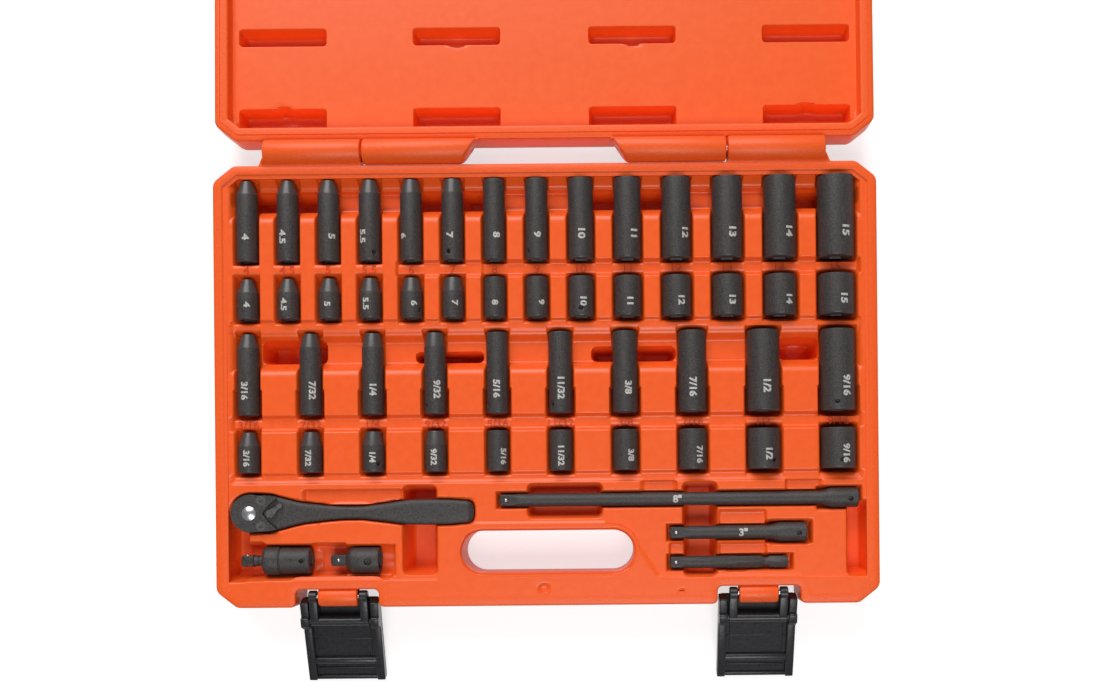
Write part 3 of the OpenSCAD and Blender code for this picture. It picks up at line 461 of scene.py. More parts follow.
def plan_edge(x, y, inset):
    """Distance outside the case's plan moved in by inset: cut corners and two latch notches."""
    ax, ay = np.abs(x), np.abs(y)
    flat = np.maximum(ax - case_x, ay - case_y)
    run = math.hypot(corner_x, corner_y)
    cut = ((ax - case_x) * corner_y + (ay - case_y) * corner_x + corner_x * corner_y) / run
    notch = np.maximum(np.maximum(notch_x0 - ax, ax - notch_x1), y - notch_y)
    return np.maximum(np.maximum(flat, cut), -notch) + inset


def settled(x, y, edge):
    """Points moved onto the line where edge(x, y) is zero, along the edge's slope."""
    step = 0.01
    for _ in range(3):
        d = edge(x, y)
        gx = (edge(x + step, y) - edge(x - step, y)) / (2 * step)
        gy = (edge(x, y + step) - edge(x, y - step)) / (2 * step)
        size = np.maximum(gx**2 + gy**2, 1e-6)
        x, y = x - d * gx / size, y - d * gy / size
    return x, y


def border_of(sides):
    """The sides that only one face has, in that face's order."""
    _, first, count = np.unique(np.sort(sides, 1), axis=0, return_index=True, return_counts=True)
    return sides[first[count == 1]]


def pressed_sheet(xs, ys, height, edge, wall=1.6):
    """A sheet over a grid, at height(x, y), cut along edge(x, y) = 0, and closed by a copy one
    wall below."""
    gx, gy = (a.ravel() for a in np.meshgrid(xs, ys))
    faces = grid_faces(len(ys), len(xs))
    kept = edge(gx[faces].mean(1), gy[faces].mean(1)) < 0
    inside, outside = np.unique(faces[kept]), np.unique(faces[~kept])
    border = np.intersect1d(inside, outside)
    gx[border], gy[border] = settled(gx[border], gy[border], edge)
    faces = faces[kept]
    order = np.full(len(gx), -1)
    order[inside] = np.arange(len(inside))
    faces, gx, gy = order[faces], gx[inside], gy[inside]
    top = height(gx, gy)
    rim = border_of(np.concatenate([faces[:, [i, (i + 1) % 4]] for i in range(4)]))
    n = len(gx)
    skirt = np.stack([rim[:, 0], rim[:, 0] + n, rim[:, 1] + n, rim[:, 1]], 1)
    points = np.concatenate([np.stack([gx, gy, top], 1), np.stack([gx, gy, top - wall], 1)])
    return points, np.concatenate([faces, faces[:, ::-1] + n, skirt])


def tray_border(x, y):
    """The tray ends under the rim, and round the hand opening."""
    return np.maximum(plan_edge(x, y, 3.6), -hand_edge(x, y))


metric_edges = np.concatenate([metric_x + s * (np.array(metric_od) / 2 + 0.5) for s in (-1, 1)])
inch_edges = np.concatenate([inch_x + s * (np.array(inch_od) / 2 + 0.5) for s in (-1, 1)])
well_edges = [start + side for start in slot_starts for side in (0, slot_len)]
tray_parts = {
    "tray_metric_rows": (
        ["tray_metric_deep", "tray_metric_shallow"],
        grid_lines(-case_x, case_x, 1.9, np.concatenate([metric_edges, [-175, 175, -83, -36.2]])),
        grid_lines(34, case_y, 1.5, [36.7, 60.5, 69.2, 95, 98.6, 109.4, 115.6]),
    ),
    "tray_inch_rows": (
        ["tray_inch_deep", "tray_inch_shallow"],
        grid_lines(-case_x, case_x, 1.9, np.concatenate([
            inch_edges, [-158.6, -123, -73, -35.3, 25.3, 72, 130, 152],
        ])),
        grid_lines(-52, 34, 1.5, [-48.4, -24.8, -16.4, -1.5, 9.8, 13.3, 20, 25.4, 28.8]),
    ),
    "tray_tool_bay": (
        ["base_tray"],
        grid_lines(-case_x, case_x, 1.1, [
            -178.9, -166, -157, -126.8, -111.5, -86.5, -80.1, -61.7, -47.3, -41, -27.3, -10.8,
            30.3, 67, 75.3, 94.1, 121.8, 135.1, 145.6, 166.3, 173.2, 178,
        ]),
        grid_lines(-case_y, -52, 1.1, [
            -107, -104.3, -103.5, -95.2, -89, -86.4, -79, -78.6, -73.8, -68.3, -59.8, -55.3,
        ]),
    ),
}
for tray_name, (nodes, xs, ys) in tray_parts.items():
    sheet_points, sheet_faces = pressed_sheet(xs, ys, tray_height, tray_border)
    piece(tray_name, sheet_points, sheet_faces, "base", "case_plastic", tray_plastic, nodes, 60)


# ---------- size numbers pressed into the tray ----------
# Raised figures beside each pair of sockets, cut into the mould, so they are of the tray's own
# plastic; their darker orange is painted shade. A socket's size is read here when its place is
# empty.

digit_share = 0.73


def figures(text, height, heavy=0.02, squeeze=1.0):
    """Flat letters as points (along the line, up the letter) in millimetres about their middle,
    with faces. The height is a digit's own, and squeeze widens the line."""
    curve = bpy.data.curves.new("figures", "FONT")
    curve.body = text
    curve.offset = heavy
    curve.resolution_u = 3
    letters = bpy.data.objects.new("figures", curve)
    bpy.context.scene.collection.objects.link(letters)
    bpy.context.view_layer.update()
    flat = bpy.data.meshes.new_from_object(letters)
    points = np.zeros(len(flat.vertices) * 3)
    flat.vertices.foreach_get("co", points)
    points = points.reshape(-1, 3)[:, :2]
    faces = [list(p.vertices) for p in flat.polygons]
    bpy.data.objects.remove(letters)
    bpy.data.curves.remove(curve)
    bpy.data.meshes.remove(flat)
    low, high = points.min(0), points.max(0)
    scale = height / digit_share
    return (points - (low + high) / 2) * [squeeze * scale, scale], faces


def raised(points, faces, thick):
    """Closed letters: the flat faces on top, the same faces turned below, and walls round the
    borders."""
    n = len(points)
    rim = border_of(np.array([(f[i], f[(i + 1) % len(f)]) for f in faces for i in range(len(f))]))
    walls = [[a, a + n, b + n, b] for a, b in rim.tolist()]
    solid = np.concatenate([
        np.column_stack([points, np.full(n, thick)]), np.column_stack([points, np.zeros(n)])
    ])
    return solid, [*faces, *[[i + n for i in reversed(f)] for f in faces], *walls]


def facing_out(points, faces):
    """The faces, all turned over if the volume that they enclose, a sum of p0 . (p1 x p2), is
    negative."""
    total = 0.0
    for size in {len(f) for f in faces}:
        f = np.array([face for face in faces if len(face) == size])
        for k in range(1, size - 1):
            total += (points[f[:, 0]] * np.cross(points[f[:, k]], points[f[:, k + 1]])).sum()
    return [list(face)[::-1] for face in faces] if total < 0 else faces


def joined(parts):
    """Several closed (points, faces) put together as one, each facing out, faces renumbered."""
    points, faces, start = [], [], 0
    for p, f in parts:
        points.append(np.asarray(p, float))
        faces += [(np.array(face) + start).tolist() for face in facing_out(points[-1], f)]
        start += len(p)
    return np.concatenate(points), faces


tray_figures = []
figure_rows = [(metric_sizes, metric_x, 64.6, 4.6), (inch_sizes, inch_x, -21.2, 4.4)]
for sizes, places, row_y, tall in figure_rows:
    for size, px in zip(sizes, places):
        flat, flat_faces = figures(size, tall, 0.0, 1.15)
        solid, solid_faces = raised(flat, flat_faces, 0.9)
        ground = tray_height(np.array([px]), np.array([row_y]))[0]
        tray_figures.append((solid + [px, row_y, ground - 0.5], solid_faces))
# The figures are moulded of the tray's plastic but coloured darker: painted shade standing in for
# the shading round their edges.
figure_plastic_painted_shade = finish_of(
    "figure_plastic_painted_shade", (226, 72, 22), (214, 66, 20), 400, 0.2, (0.4, 0.5), 0.0, 0.4
)
piece("tray_numbers", *joined(tray_figures), "base", "case_plastic", figure_plastic_painted_shade, [], 40)


# ---------- the base's outer wall ----------
# The outside of the base, blown from the same plastic. Its rim stands a millimetre proud of the
# tray, the corners are cut, and the latches fold into two notches in front.

cut_x, cut_y = case_x - corner_x, case_y - corner_y
right_corners = [
    (notch_x0, -case_y), (notch_x0, notch_y), (notch_x1, notch_y), (notch_x1, -case_y),
    (cut_x, -case_y), (case_x, -cut_y), (case_x, cut_y), (cut_x, case_y),
]
left_corners = [(-x, y) for x, y in reversed(right_corners)]
base_corners = np.roll(np.array(right_corners + left_corners), 5, 0)
corner_round = np.roll([3.0] * 4 + [6.0] * 8 + [3.0] * 4, 5)


def rounded_ring(corners, radii, inset, steps=7):
    """The outline moved in by inset, with each corner an arc whose radius shrinks or grows with
    the inset."""
    after, before = np.roll(corners, -1, 0), np.roll(corners, 1, 0)
    go = (after - corners) / np.linalg.norm(after - corners, axis=1, keepdims=True)
    come = (corners - before) / np.linalg.norm(corners - before, axis=1, keepdims=True)
    cross = come[:, 0] * go[:, 1] - come[:, 1] * go[:, 0]
    dot = (come * go).sum(1)
    turn = np.arctan2(cross, dot)
    inward = np.stack([-come[:, 1] - go[:, 1], come[:, 0] + go[:, 0]], 1)
    tip = corners + inset * inward / (1 + dot)[:, None]
    radius = np.maximum(radii - inset * np.sign(turn), 0.4)
    bisector = (go - come) / np.linalg.norm(go - come, axis=1, keepdims=True)
    centre = tip + bisector * (radius / np.cos(turn / 2))[:, None]
    a = turn[:, None] * np.linspace(-0.5, 0.5, steps)
    bx, by = -bisector[:, :1], -bisector[:, 1:]
    arm = np.stack([bx * np.cos(a) - by * np.sin(a), bx * np.sin(a) + by * np.cos(a)], -1)
    return (centre[:, None] + arm * radius[:, None, None]).reshape(-1, 2)


def walled(ring_of, profile):
    """A wall: the profile's points (inset, height) carried round the ring of that inset."""
    rows = [np.column_stack([ring_of(i), np.full(len(ring_of(i)), z)]) for i, z in profile]
    return np.concatenate(rows), grid_faces(len(rows), len(rows[0]), True, True)


def plate_between(ring, hole, low, high):
    """A flat plate inside a ring, with a hole, from height low to height high."""
    loops = [ring, hole]
    flat = np.concatenate(loops)
    tris = tessellate_polygon([[Vector((*p, 0)) for p in loop] for loop in loops])
    n = len(flat)
    faces = [list(t) for t in tris] + [[i + n for i in reversed(t)] for t in tris]
    start = 0
    for loop in loops:
        m = len(loop)
        i = np.arange(m)
        j = (i + 1) % m
        faces += (np.stack([i, i + n, j + n, j], 1) + start).tolist()
        start += m
    points = np.concatenate([
        np.column_stack([flat, np.full(n, high)]), np.column_stack([flat, np.full(n, low)])
    ])
    return points, faces


def base_ring(inset):
    """The case's outline moved in by inset."""
    return rounded_ring(base_corners, corner_round, inset)


def hand_ring(grow, steps=24):
    """The hand opening's outline, grown outward: two half circles joined by straight lines."""
    a = np.linspace(-math.pi / 2, math.pi / 2, steps)
    r = hand_r + grow
    right = np.stack([hand_half + r * np.cos(a), hand_y + r * np.sin(a)], 1)
    left = np.stack([-hand_half - r * np.cos(a), hand_y - r * np.sin(a)], 1)
    return np.concatenate([right, left])


case_edge = [
    (9, 0), (4.4, 0), (3.1, 0.2), (1.9, 0.8), (0.9, 1.8), (0.3, 3.1), (0.05, 4.6), (0, 7),
]
hand_edge_line = [(3.6, 0), (1.1, 0), (0.5, 0.2), (0.12, 0.7), (0, 1.4)]
base_wall_line = [
    *case_edge, (0, 30.7), (0.12, 31.3), (0.42, 31.75), (0.95, 32), (4.3, 32), (4.8, 31.9),
    (5.15, 31.55), (5.4, 31.15), (5.8, 30.92), (7.2, 30.85), (7.2, 29.2), (2, 29.2), (2, 5),
    (3.4, 2.6), (5.2, 1.8), (9, 1.8),
]
hand_wall_line = [
    *hand_edge_line, (0, 28.9), (0.15, 30.2), (0.55, 31.2), (1.2, 31.8), (1.9, 32.02), (2.6, 32),
    (3.2, 31.85), (3.2, 29.4), (1.8, 29.2), (1.8, 2.2), (3.6, 1.8),
]
rim_points, rim_faces = walled(base_ring, base_wall_line)
inset_of = np.repeat([i for i, _ in base_wall_line], len(base_ring(0)))
inner_rim = (inset_of > 0.9) & (inset_of < 7.3) & (rim_points[:, 2] > 30.5)
flush = np.clip((96 - rim_points[:, 1]) / 3, 0, 1) * inner_rim
fall = 1.02 - 0.95 * np.clip((-106.2 - rim_points[:, 1]) / 1.5, 0, 1)
even_rim = rim_top - fall * np.clip((inset_of - 0.95) / 6.25, 0, 1)
rim_points[:, 2] += flush * (even_rim - rim_points[:, 2])
shell_parts = [
    (rim_points, rim_faces),
    walled(hand_ring, hand_wall_line),
    plate_between(base_ring(8.9), hand_ring(3.5), 0.0, 1.8),
]

hinge_y, hinge_z = 130.05, 30.0
knuckle_r = 7.0


def turned(line, steps=48):
    """A solid of revolution about its own axis: rows (along, radius), with half the width across
    flats and their number where it isn't round. The radius at an angle is the smaller of the
    row's radius and flat / cos(angle from the flat's middle)."""
    line = np.array([(*r, 0, 0)[:4] for r in line], float)
    a = np.linspace(0, 2 * math.pi, steps, endpoint=False)
    sides = np.where(line[:, 3] > 0, line[:, 3], 4)[:, None]
    off = np.mod(a[None] + math.pi / sides, 2 * math.pi / sides) - math.pi / sides
    flat = np.where(line[:, 2] > 0, line[:, 2], 1e9)[:, None] / np.cos(off)
    r = np.minimum(line[:, 1:2], flat)
    along = np.broadcast_to(line[:, :1], r.shape)
    points = np.stack([along, r * np.cos(a), r * np.sin(a)], -1).reshape(-1, 3)
    return points, grid_faces(len(line), steps, False, True)


def slab(outline, low, high, edge):
    """A plate with that outline in its first two coordinates and softly rounded edges."""
    outline = np.asarray(outline, float)
    go = np.roll(outline, -1, 0) - outline
    go /= np.maximum(np.linalg.norm(go, axis=1, keepdims=True), 1e-9)
    come = np.roll(go, 1, 0)
    side = np.sign(np.cross(outline, np.roll(outline, -1, 0)).sum())
    inward = side * np.stack([-come[:, 1] - go[:, 1], come[:, 0] + go[:, 0]], 1)
    inward /= np.maximum(1 + (come * go).sum(1), 0.3)[:, None]
    a = np.linspace(0, math.pi / 2, 4)
    steps = [(edge * (1 - math.sin(t)), low + edge * (1 - math.cos(t))) for t in a]
    steps += [(edge * (1 - math.cos(t)), high - edge * (1 - math.sin(t))) for t in a]
    rows = [np.column_stack([outline + inward * i, np.full(len(outline), z)]) for i, z in steps]
    n = len(outline)
    faces = grid_faces(len(rows), n, False, True).tolist()
    faces += [list(range(n)), [i + n * (len(rows) - 1) for i in reversed(range(n))]]
    return np.concatenate(rows), faces


def box_line(x0, x1, y0, y1, r, steps=5):
    """A rectangle's outline with corners of radius r."""
    corners = np.array([(x0, y0), (x1, y0), (x1, y1), (x0, y1)], float)
    return rounded_ring(corners, np.full(4, float(r)), 0.0, steps)


def barrel_form(x0, x1, r):
    """A bar along X with softly rounded ends."""
    return turned([
        (x0, 0), (x0, r - 1.4), (x0 + 0.4, r - 0.4), (x0 + 1.4, r),
        (x1 - 1.4, r), (x1 - 0.4, r - 0.4), (x1, r - 1.4), (x1, 0),
    ])


base_knuckle, lid_knuckle, hinge_rod = (101.5, 155.5), (45.7, 100.8), (50.7, 150.5)


def hinge_block(x0, x1, lid):
    """A knuckle round the hinge axis from x0 to x1, and the web that joins it to the wall behind.
    The lid's inner end slants, and the base's outer end widens towards the wall."""
    barrel, faces = barrel_form(x0, x1, knuckle_r)
    barrel = barrel + [0, hinge_y, hinge_z]
    low, high = (lid_rim, hinge_z + knuckle_r) if lid else (hinge_z - knuckle_r, rim_top)
    web, web_faces = slab(box_line(121.8, hinge_y, low, high, 0.6), x0, x1, 0.8)
    web = web[:, [2, 0, 1]]
    for p in (barrel, web):
        out, side = np.abs(p[:, 0]), np.sign(x0)
        if lid:
            p[:, 0] -= side * (out < 47.2) * np.clip(0.6 * (137.3 - p[:, 1]), 0, 9)
        else:
            p[:, 0] += side * (out > 154) * 3.4 * np.clip((126 - p[:, 1]) / 4, 0, 1)
    return [(barrel, faces), (web, web_faces)]


latch_x, pivot_y, pivot_z = 117.0, -116.85, 28.0
notch_in = -111.6
lug_half, lug_r = 11.0, 5.5


def latch_lug(x):
    """The barrel that carries a latch, from -lug_half to lug_half about x, flat below and tied to
    the wall by a lower root."""
    barrel, faces = barrel_form(-lug_half, lug_half, lug_r)
    barrel[:, 2] = np.maximum(barrel[:, 2], pivot_z - rim_top + 0.1)
    root, root_faces = slab(
        box_line(pivot_y, notch_in, pivot_z - lug_r, rim_top - 2.4, 0.5), -lug_half, lug_half, 1.0
    )
    return [
        (barrel + [x, pivot_y, rim_top - lug_r], faces),
        (root[:, [2, 0, 1]] + [x, 0, 0], root_faces),
    ]


for mirror in (-1, 1):
    shell_parts += hinge_block(*sorted(mirror * x for x in base_knuckle), False)
    shell_parts += latch_lug(mirror * latch_x)

shell_plastic = finish_of(
    "shell_plastic", (253, 98, 32), (246, 91, 27), 900, 0.8, (0.36, 0.46), 0.0, 0.4
)
piece(
    "base_wall", *joined(shell_parts), "base", "case_plastic", shell_plastic, ["base_shell"], 40
)


# ---------- the lid ----------
# The other half of the case, moulded like the base and turned back flat on its hinge. Its inner
# panel has four rows of slots, pressed down until the two walls meet.

lid_open = math.radians(181.35124273997485)
lid_top, panel, slot_floor = 54.0, 39.3, 50.6


def opened(points):
    """Points of the closed lid turned open about the hinge axis."""
    points = np.array(points, float)
    c, s = math.cos(-lid_open), math.sin(-lid_open)
    y, z = points[:, 1] - hinge_y, points[:, 2] - hinge_z
    points[:, 1] = hinge_y + y * c - z * s
    points[:, 2] = hinge_z + y * s + z * c
    return points


def lid_depth(x, y):
    """Height of the closed lid's inner panel, upside down: flat, with the slots pressed into it
    and a slope up to its rim."""
    z = np.full_like(x, -panel)
    slots = [(150.5, 13.8), (198.0, 9.8), (239.0, 9.8), (283.0, 9.8)]
    for behind, wide in slots:
        mid = 2 * hinge_y - behind
        for start in slot_starts:
            d = box_edge(x, y, start, start + slot_len, mid - wide / 2, mid + wide / 2, 2.0)
            centre, outer = start + slot_len / 2, start in (slot_starts[0], slot_starts[-1])
            if behind < 160 and outer:
                d = np.minimum(d, np.hypot(x - centre, y - mid + wide / 2 - 3.4) - 5)
                d = np.maximum(d, 4.4 - np.hypot(x - centre - 1, y - mid - wide / 2 - 1.2))
            if 190 < behind < 200 and not outer:
                d = np.minimum(d, np.hypot(x - centre, y - mid - wide / 2 + 3.4) - 5)
            z = soft_low(z, soft_high(-slot_floor + 0 * x, -panel + 7 * d, 4), 2.0)
    return soft_high(z, np.minimum(-panel + 5.5 * plan_edge(x, y, 8.2), -33.2), 2.5)


def lid_border(x, y):
    """The panel ends inside the lid's wall, and round the hand opening."""
    return np.maximum(plan_edge(x, y, 6.2), -hand_edge(x, y, 0.6))


lid_xs = grid_lines(-case_x, case_x, 2.4, [-175.8, 175.8, *well_edges])
lid_ys = grid_lines(-case_y, case_y, 2.4, [
    *(2 * hinge_y - np.array([143.6, 157.4, 193.1, 202.9, 234.1, 243.9, 278.1, 287.9])),
    -114.35, 114.35, -104.3, -80.9,
])
lid_points, lid_faces = pressed_sheet(lid_xs, lid_ys, lid_depth, lid_border)
lid_points[:, 2] *= -1
piece(
    "lid_panel", opened(lid_points), lid_faces, "lid", "case_plastic", tray_plastic,
    ["lid_inner"], 60,
)

lid_wall_line = [
    *[(inset, lid_top - z) for inset, z in case_edge], (0, 33.6), (0.12, 33), (0.42, 32.55),
    (0.95, 32.3), (3.0, 32.3), (3.15, 32.75), (3.5, 32.75), (3.65, 32.3), (6.2, 32.3), (6.8, 32.4),
    (7.3, 32.75), (7.6, 33.4), (7.6, 35), (2, 35), (2, 49), (3.4, 51.4), (5.2, 52.2), (9, 52.2),
]
lid_hand_line = [
    *[(inset, lid_top - z) for inset, z in hand_edge_line], (0, 42.3), (0.15, 40.4), (0.55, 39.6),
    (1.2, 39.25), (2.6, 39.1), (3.2, 39.3), (3.2, 41), (1.8, 41.2), (1.8, 51.8), (3.6, 52.2),
]
lid_parts = [
    walled(base_ring, lid_wall_line),
    walled(hand_ring, lid_hand_line),
    plate_between(base_ring(8.9), hand_ring(3.5), 52.2, lid_top),
]
for mirror in (-1, 1):
    lid_parts += hinge_block(*sorted(mirror * x for x in lid_knuckle), True)
    catch, catch_faces = slab(box_line(-122.25, notch_in, lid_rim, 38.1, 0.6), -15, 15, 0.6)
    lid_parts.append((catch[:, [2, 0, 1]] + [mirror * latch_x, 0, 0], catch_faces))
lid_solid, lid_solid_faces = joined(lid_parts)
piece(
    "lid_wall", opened(lid_solid), lid_solid_faces, "lid", "case_plastic", shell_plastic,
    ["lid_shell"], 40,
)


# ---------- hinge pins ----------
# Two plain steel rods pushed through the knuckles from their inner ends.

bright_steel = finish_of(
    "bright_steel", (236, 236, 238), (220, 221, 224), 900, 0.12, (0.24, 0.34), 1.0
)


def pin_line(x0, x1, r, edge=0.3, steps=32):
    """A plain rod along X with its ends broken by edge."""
    line = [(x0, 0), (x0, r - edge), (x0 + edge, r), (x1 - edge, r), (x1, r - edge), (x1, 0)]
    return turned(line, steps)


pins = []
for mirror in (-1, 1):
    rod, faces = pin_line(*sorted(mirror * x for x in hinge_rod), 2, 0.4, 24)
    pins.append((rod + [0, hinge_y, hinge_z], faces))
piece("hinge_rods", *joined(pins), "base", "bright_steel", bright_steel, ["hinge_pins"])


# ---------- latches ----------
# Two nylon latches, moulded black. Each lever hangs on a link that turns on a pin in the base;
# closed, the rib inside the lever pulls on the ledge in the lid's notch.

nylon = finish_of(
    "latch_nylon", (48, 47, 50), (38, 37, 40), 700, 0.25, (0.24, 0.34), 0.0, 0.4
)
arm_x, arm_half = 14.0, 2.25
link_len, link_hang, lever_hang = 15.0, math.radians(18), math.radians(22)
lever_w, lever_len, heel_len = 43.6, 40.0, 11.5
plate_low, plate_high = -8.55, -6.05


def hung(points, angle, place):
    """Points turned about X by an angle and moved to their pivot."""
    p = np.asarray(points, float)
    c, s = math.cos(angle), math.sin(angle)
    y, z = p[:, 1] * c - p[:, 2] * s, p[:, 1] * s + p[:, 2] * c
    return np.column_stack([p[:, 0], y, z]) + place


def bar(x0, x1, y0, y1, z0, z1, edge=0.5, corner=0.6):
    """A rounded bar between two corners, its outline in Y and Z and its length along X."""
    points, faces = slab(box_line(y0, y1, z0, z1, corner), x0, x1, edge)
    return points[:, [2, 0, 1]], faces


def panel_plate(x0, x1, y0, y1, z0, z1, edge=0.5, corner=1.5):
    """A rounded plate lying in X and Y."""
    return slab(box_line(x0, x1, y0, y1, corner), z0, z1, edge)


for side, name in ((-1, "left"), (1, "right")):
    x = side * latch_x
    base_pivot = np.array([x, pivot_y, pivot_z])
    low_pivot = base_pivot + [0, -link_len * math.cos(link_hang), -link_len * math.sin(link_hang)]
    link_parts = []
    for arm in (-arm_x, arm_x):
        link_parts += [
            pin_line(arm - arm_half, arm + arm_half, 3.5, 0.5),
            bar(arm - arm_half, arm + arm_half, -link_len, 0, -2.5, 2.5),
        ]
    for r, half in ((2.6, arm_x + arm_half), (1.5, 20.8)):
        rod, faces = pin_line(-half, half, r)
        link_parts.append((rod + [0, -link_len, 0], faces))
    points, faces = joined(link_parts)
    piece(
        f"latch_arms_{name}", hung(points, link_hang, base_pivot), faces, f"link_{name}",
        "latch_nylon", nylon, [f"latch_link_{name}"],
    )
    rod, faces = pin_line(-arm_x - arm_half, arm_x + arm_half, 1.5)
    piece(
        f"latch_rod_{name}", rod + base_pivot, faces, "base", "bright_steel", bright_steel,
        ["latch_pins"],
    )
    half = lever_w / 2
    inside = half - 4.6
    tail, face = -lever_len + 0.1, plate_low + 0.2
    lever_parts = [
        panel_plate(-half, half, -lever_len, heel_len, plate_low, plate_high, 0.7, 2.2),
        bar(-inside - 1, inside + 1, -30.2, -25.4, face, plate_high + 3, 0.5, 2.3),
        bar(-inside - 1, inside + 1, tail, -lever_len + 2.4, face, plate_high + 1.8),
        panel_plate(
            -inside + 2, inside - 2, -24.2, -3.2, plate_high - 0.3, plate_high + 0.45, 0.3, 1.2
        ),
        bar(-inside + 1, inside - 1, -14.6, -13.8, plate_high - 0.2, plate_high + 0.5, 0.2, 0.2),
        bar(-inside + 1, inside - 1, -33.4, -32.4, plate_high - 0.3, plate_high + 0.7, 0.3, 0.3),
    ]
    for cheek in (-1, 1):
        x0, x1 = sorted((cheek * inside, cheek * half))
        lever_parts += [
            bar(x0, x1, -5, heel_len - 0.1, face, 0.5, 0.6, 1.0),
            bar(x0, x1, -3, 3, -1, 3, 0.6, 1.2),
            bar(x0, x1, tail, -4.6, face, plate_high + 3.4, 0.6, 1.0),
        ]
    for mark in (-7.0, 0.0, 7.0):
        a = np.linspace(0, 2 * math.pi, 16, endpoint=False)
        ring = 1.1 * np.stack([np.cos(a), np.sin(a)], 1)
        dot, faces = slab(ring, plate_high + 0.2, plate_high + 0.75, 0.15)
        lever_parts.append((dot + [mark, -7.5, 0], faces))
    points, faces = joined(lever_parts)
    piece(
        f"latch_handle_{name}", hung(points, lever_hang, low_pivot), faces, f"lever_{name}",
        "latch_nylon", nylon, [f"latch_lever_{name}"],
    )


# ---------- sockets ----------
# Forged steel, turned, then blasted and phosphated dark. The nose is turned again after, so it
# is smoother and lighter; the drive end's chamfer is drawn in the same lighter steel, a painted
# highlight. The size is printed white, and a cross hole takes the drive's ball.

phosphate = finish_of(
    "phosphate_steel", (80, 75, 73), (22, 20, 20), 1700, 1.2, (0.34, 0.6), 0.0, 0.5, 6.0
)
turned_steel = finish_of(
    "turned_steel", (78, 75, 74), (56, 54, 53), 1800, 0.12, (0.3, 0.4), 0.0, 0.6
)
white_paint = finish_of(
    "white_print", (222, 220, 214), (150, 147, 142), 1400, 0.1, (0.5, 0.6)
)
turn_steps = 96
no_round, drive_half = 99, 3.25
socket_hole, bar_hole, adapter_hole = 4.6, 4.4, adapter_len - 6.1
hole_rings = np.arange(6)
hole_reach = np.array([0, 0.5, 1.0, 1.22, 1.3, 1.62])
hole_depth = np.array([2.4, 2.4, 2.4, 2.3, 0.18, 0.0])


def steel_piece(name, form, body, node):
    """A phosphated steel piece with that form (points, faces), in place of one CAD node."""
    return piece(name, *form, body, "phosphate_steel", phosphate, [node], 34)


def hole_rows(along, radius):
    """Rows close together round a cross hole, for a turned line."""
    step = min(2 * math.pi * radius / turn_steps, 0.5)
    return [(along + step * k, radius) for k in range(-6, 7)]


def square_tip(end_r, corner_r, length):
    """Rows of a drive square of that length: its end face, chamfer and four flats."""
    return [
        (0, 0), (0, end_r), (0.5, no_round, 2.9, 4), (0.9, corner_r, 3.1, 4),
        (length, corner_r, 3.1, 4),
    ]


def square_mouth(length, mouth):
    """Rows of the square hole in the far end of a bar of that length, mouth wide each side."""
    return [
        (length, no_round, mouth, 4), (length - 0.4, no_round, drive_half, 4),
        (length - 8.5, no_round, drive_half, 4), (length - 8.6, 0),
    ]


def drilled(points, row, turn, radius, along, scale=1.0):
    """A cross hole: the grid's square rings round one corner are pulled into circles of the radii
    in hole_reach, and sunk by hole_depth, so the hole has a round edge, a wall and a floor."""
    k, j = np.meshgrid(np.arange(-5, 6), np.arange(-5, 6), indexing="ij")
    ring = np.maximum(np.abs(k), np.abs(j))
    reach = np.interp(ring, hole_rings, hole_reach) * scale
    depth = np.interp(ring, hole_rings, hole_depth)
    size = np.maximum(np.hypot(k, j), 1e-9)
    at = (row + k) * turn_steps + (turn + j) % turn_steps
    angle = 2 * math.pi * turn / turn_steps + reach * j / size / radius
    r = radius - depth
    points[at.ravel()] = np.stack(
        [along + reach * k / size, r * np.cos(angle), r * np.sin(angle)], -1
    ).reshape(-1, 3)
    return points


def socket_solid(af, od, length, hex_depth, hole_turn):
    """A socket along its own axis from its drive end, as one closed loop of rows: drive rim, body,
    nose, hexagon, bore, drive square. Returns its points, faces, and which faces take the lighter
    turned steel: the turned nose, and the drive rim's chamfer as a painted highlight."""
    tapered = af < 7.9
    nose = min(od, af / math.cos(math.radians(30)) + 1.5) if tapered else od
    taper = 7.8 if tapered else 0.8
    tip = nose / 2 if tapered else od / 2 - 0.5
    bore = min(af * 0.98, 8.4) / 2
    r = od / 2
    rows = [(0, r - 0.9), (0.12, r - 0.62), (0.5, r - 0.12), (0.85, r)]
    first = len(rows)
    if hole_turn is not None:
        rows += hole_rows(socket_hole, r)
    rows += [(length - taper - 0.25, r), (length - taper + 0.25, r - (0.12 if tapered else 0.08))]
    nose_row = len(rows) - 1
    rows += [
        (length - 0.45, tip), (length - 0.12, tip - 0.12), (length, tip - 0.35),
        (length, no_round, af / 2 + 0.25, 6), (length - 0.35, no_round, af / 2, 6),
        (length - hex_depth, no_round, af / 2, 6), (length - hex_depth - 0.3, bore),
        (8.6, bore), (8.5, no_round, drive_half, 4), (0.45, no_round, drive_half, 4),
        (0.0, no_round, 3.5, 4),
    ]
    points, _ = turned(rows, turn_steps)
    if hole_turn is not None:
        points = drilled(points, first + 6, hole_turn % turn_steps, r, socket_hole)
    faces = grid_faces(len(rows), turn_steps, True, True)
    row_of = np.arange(len(faces)) // turn_steps
    # The nose rows take the lighter turned steel as a finish; the first three rows, the drive end's
    # chamfer, take it as a painted highlight.
    turned_nose_and_rim_highlight = (row_of >= nose_row) & (row_of <= nose_row + 4) | (row_of < 3)
    return points[:, [1, 0, 2]], faces, turned_nose_and_rim_highlight & (tapered | (row_of < 3) | (row_of > nose_row + 1))


print_lift, print_thick = 0.005, 0.03


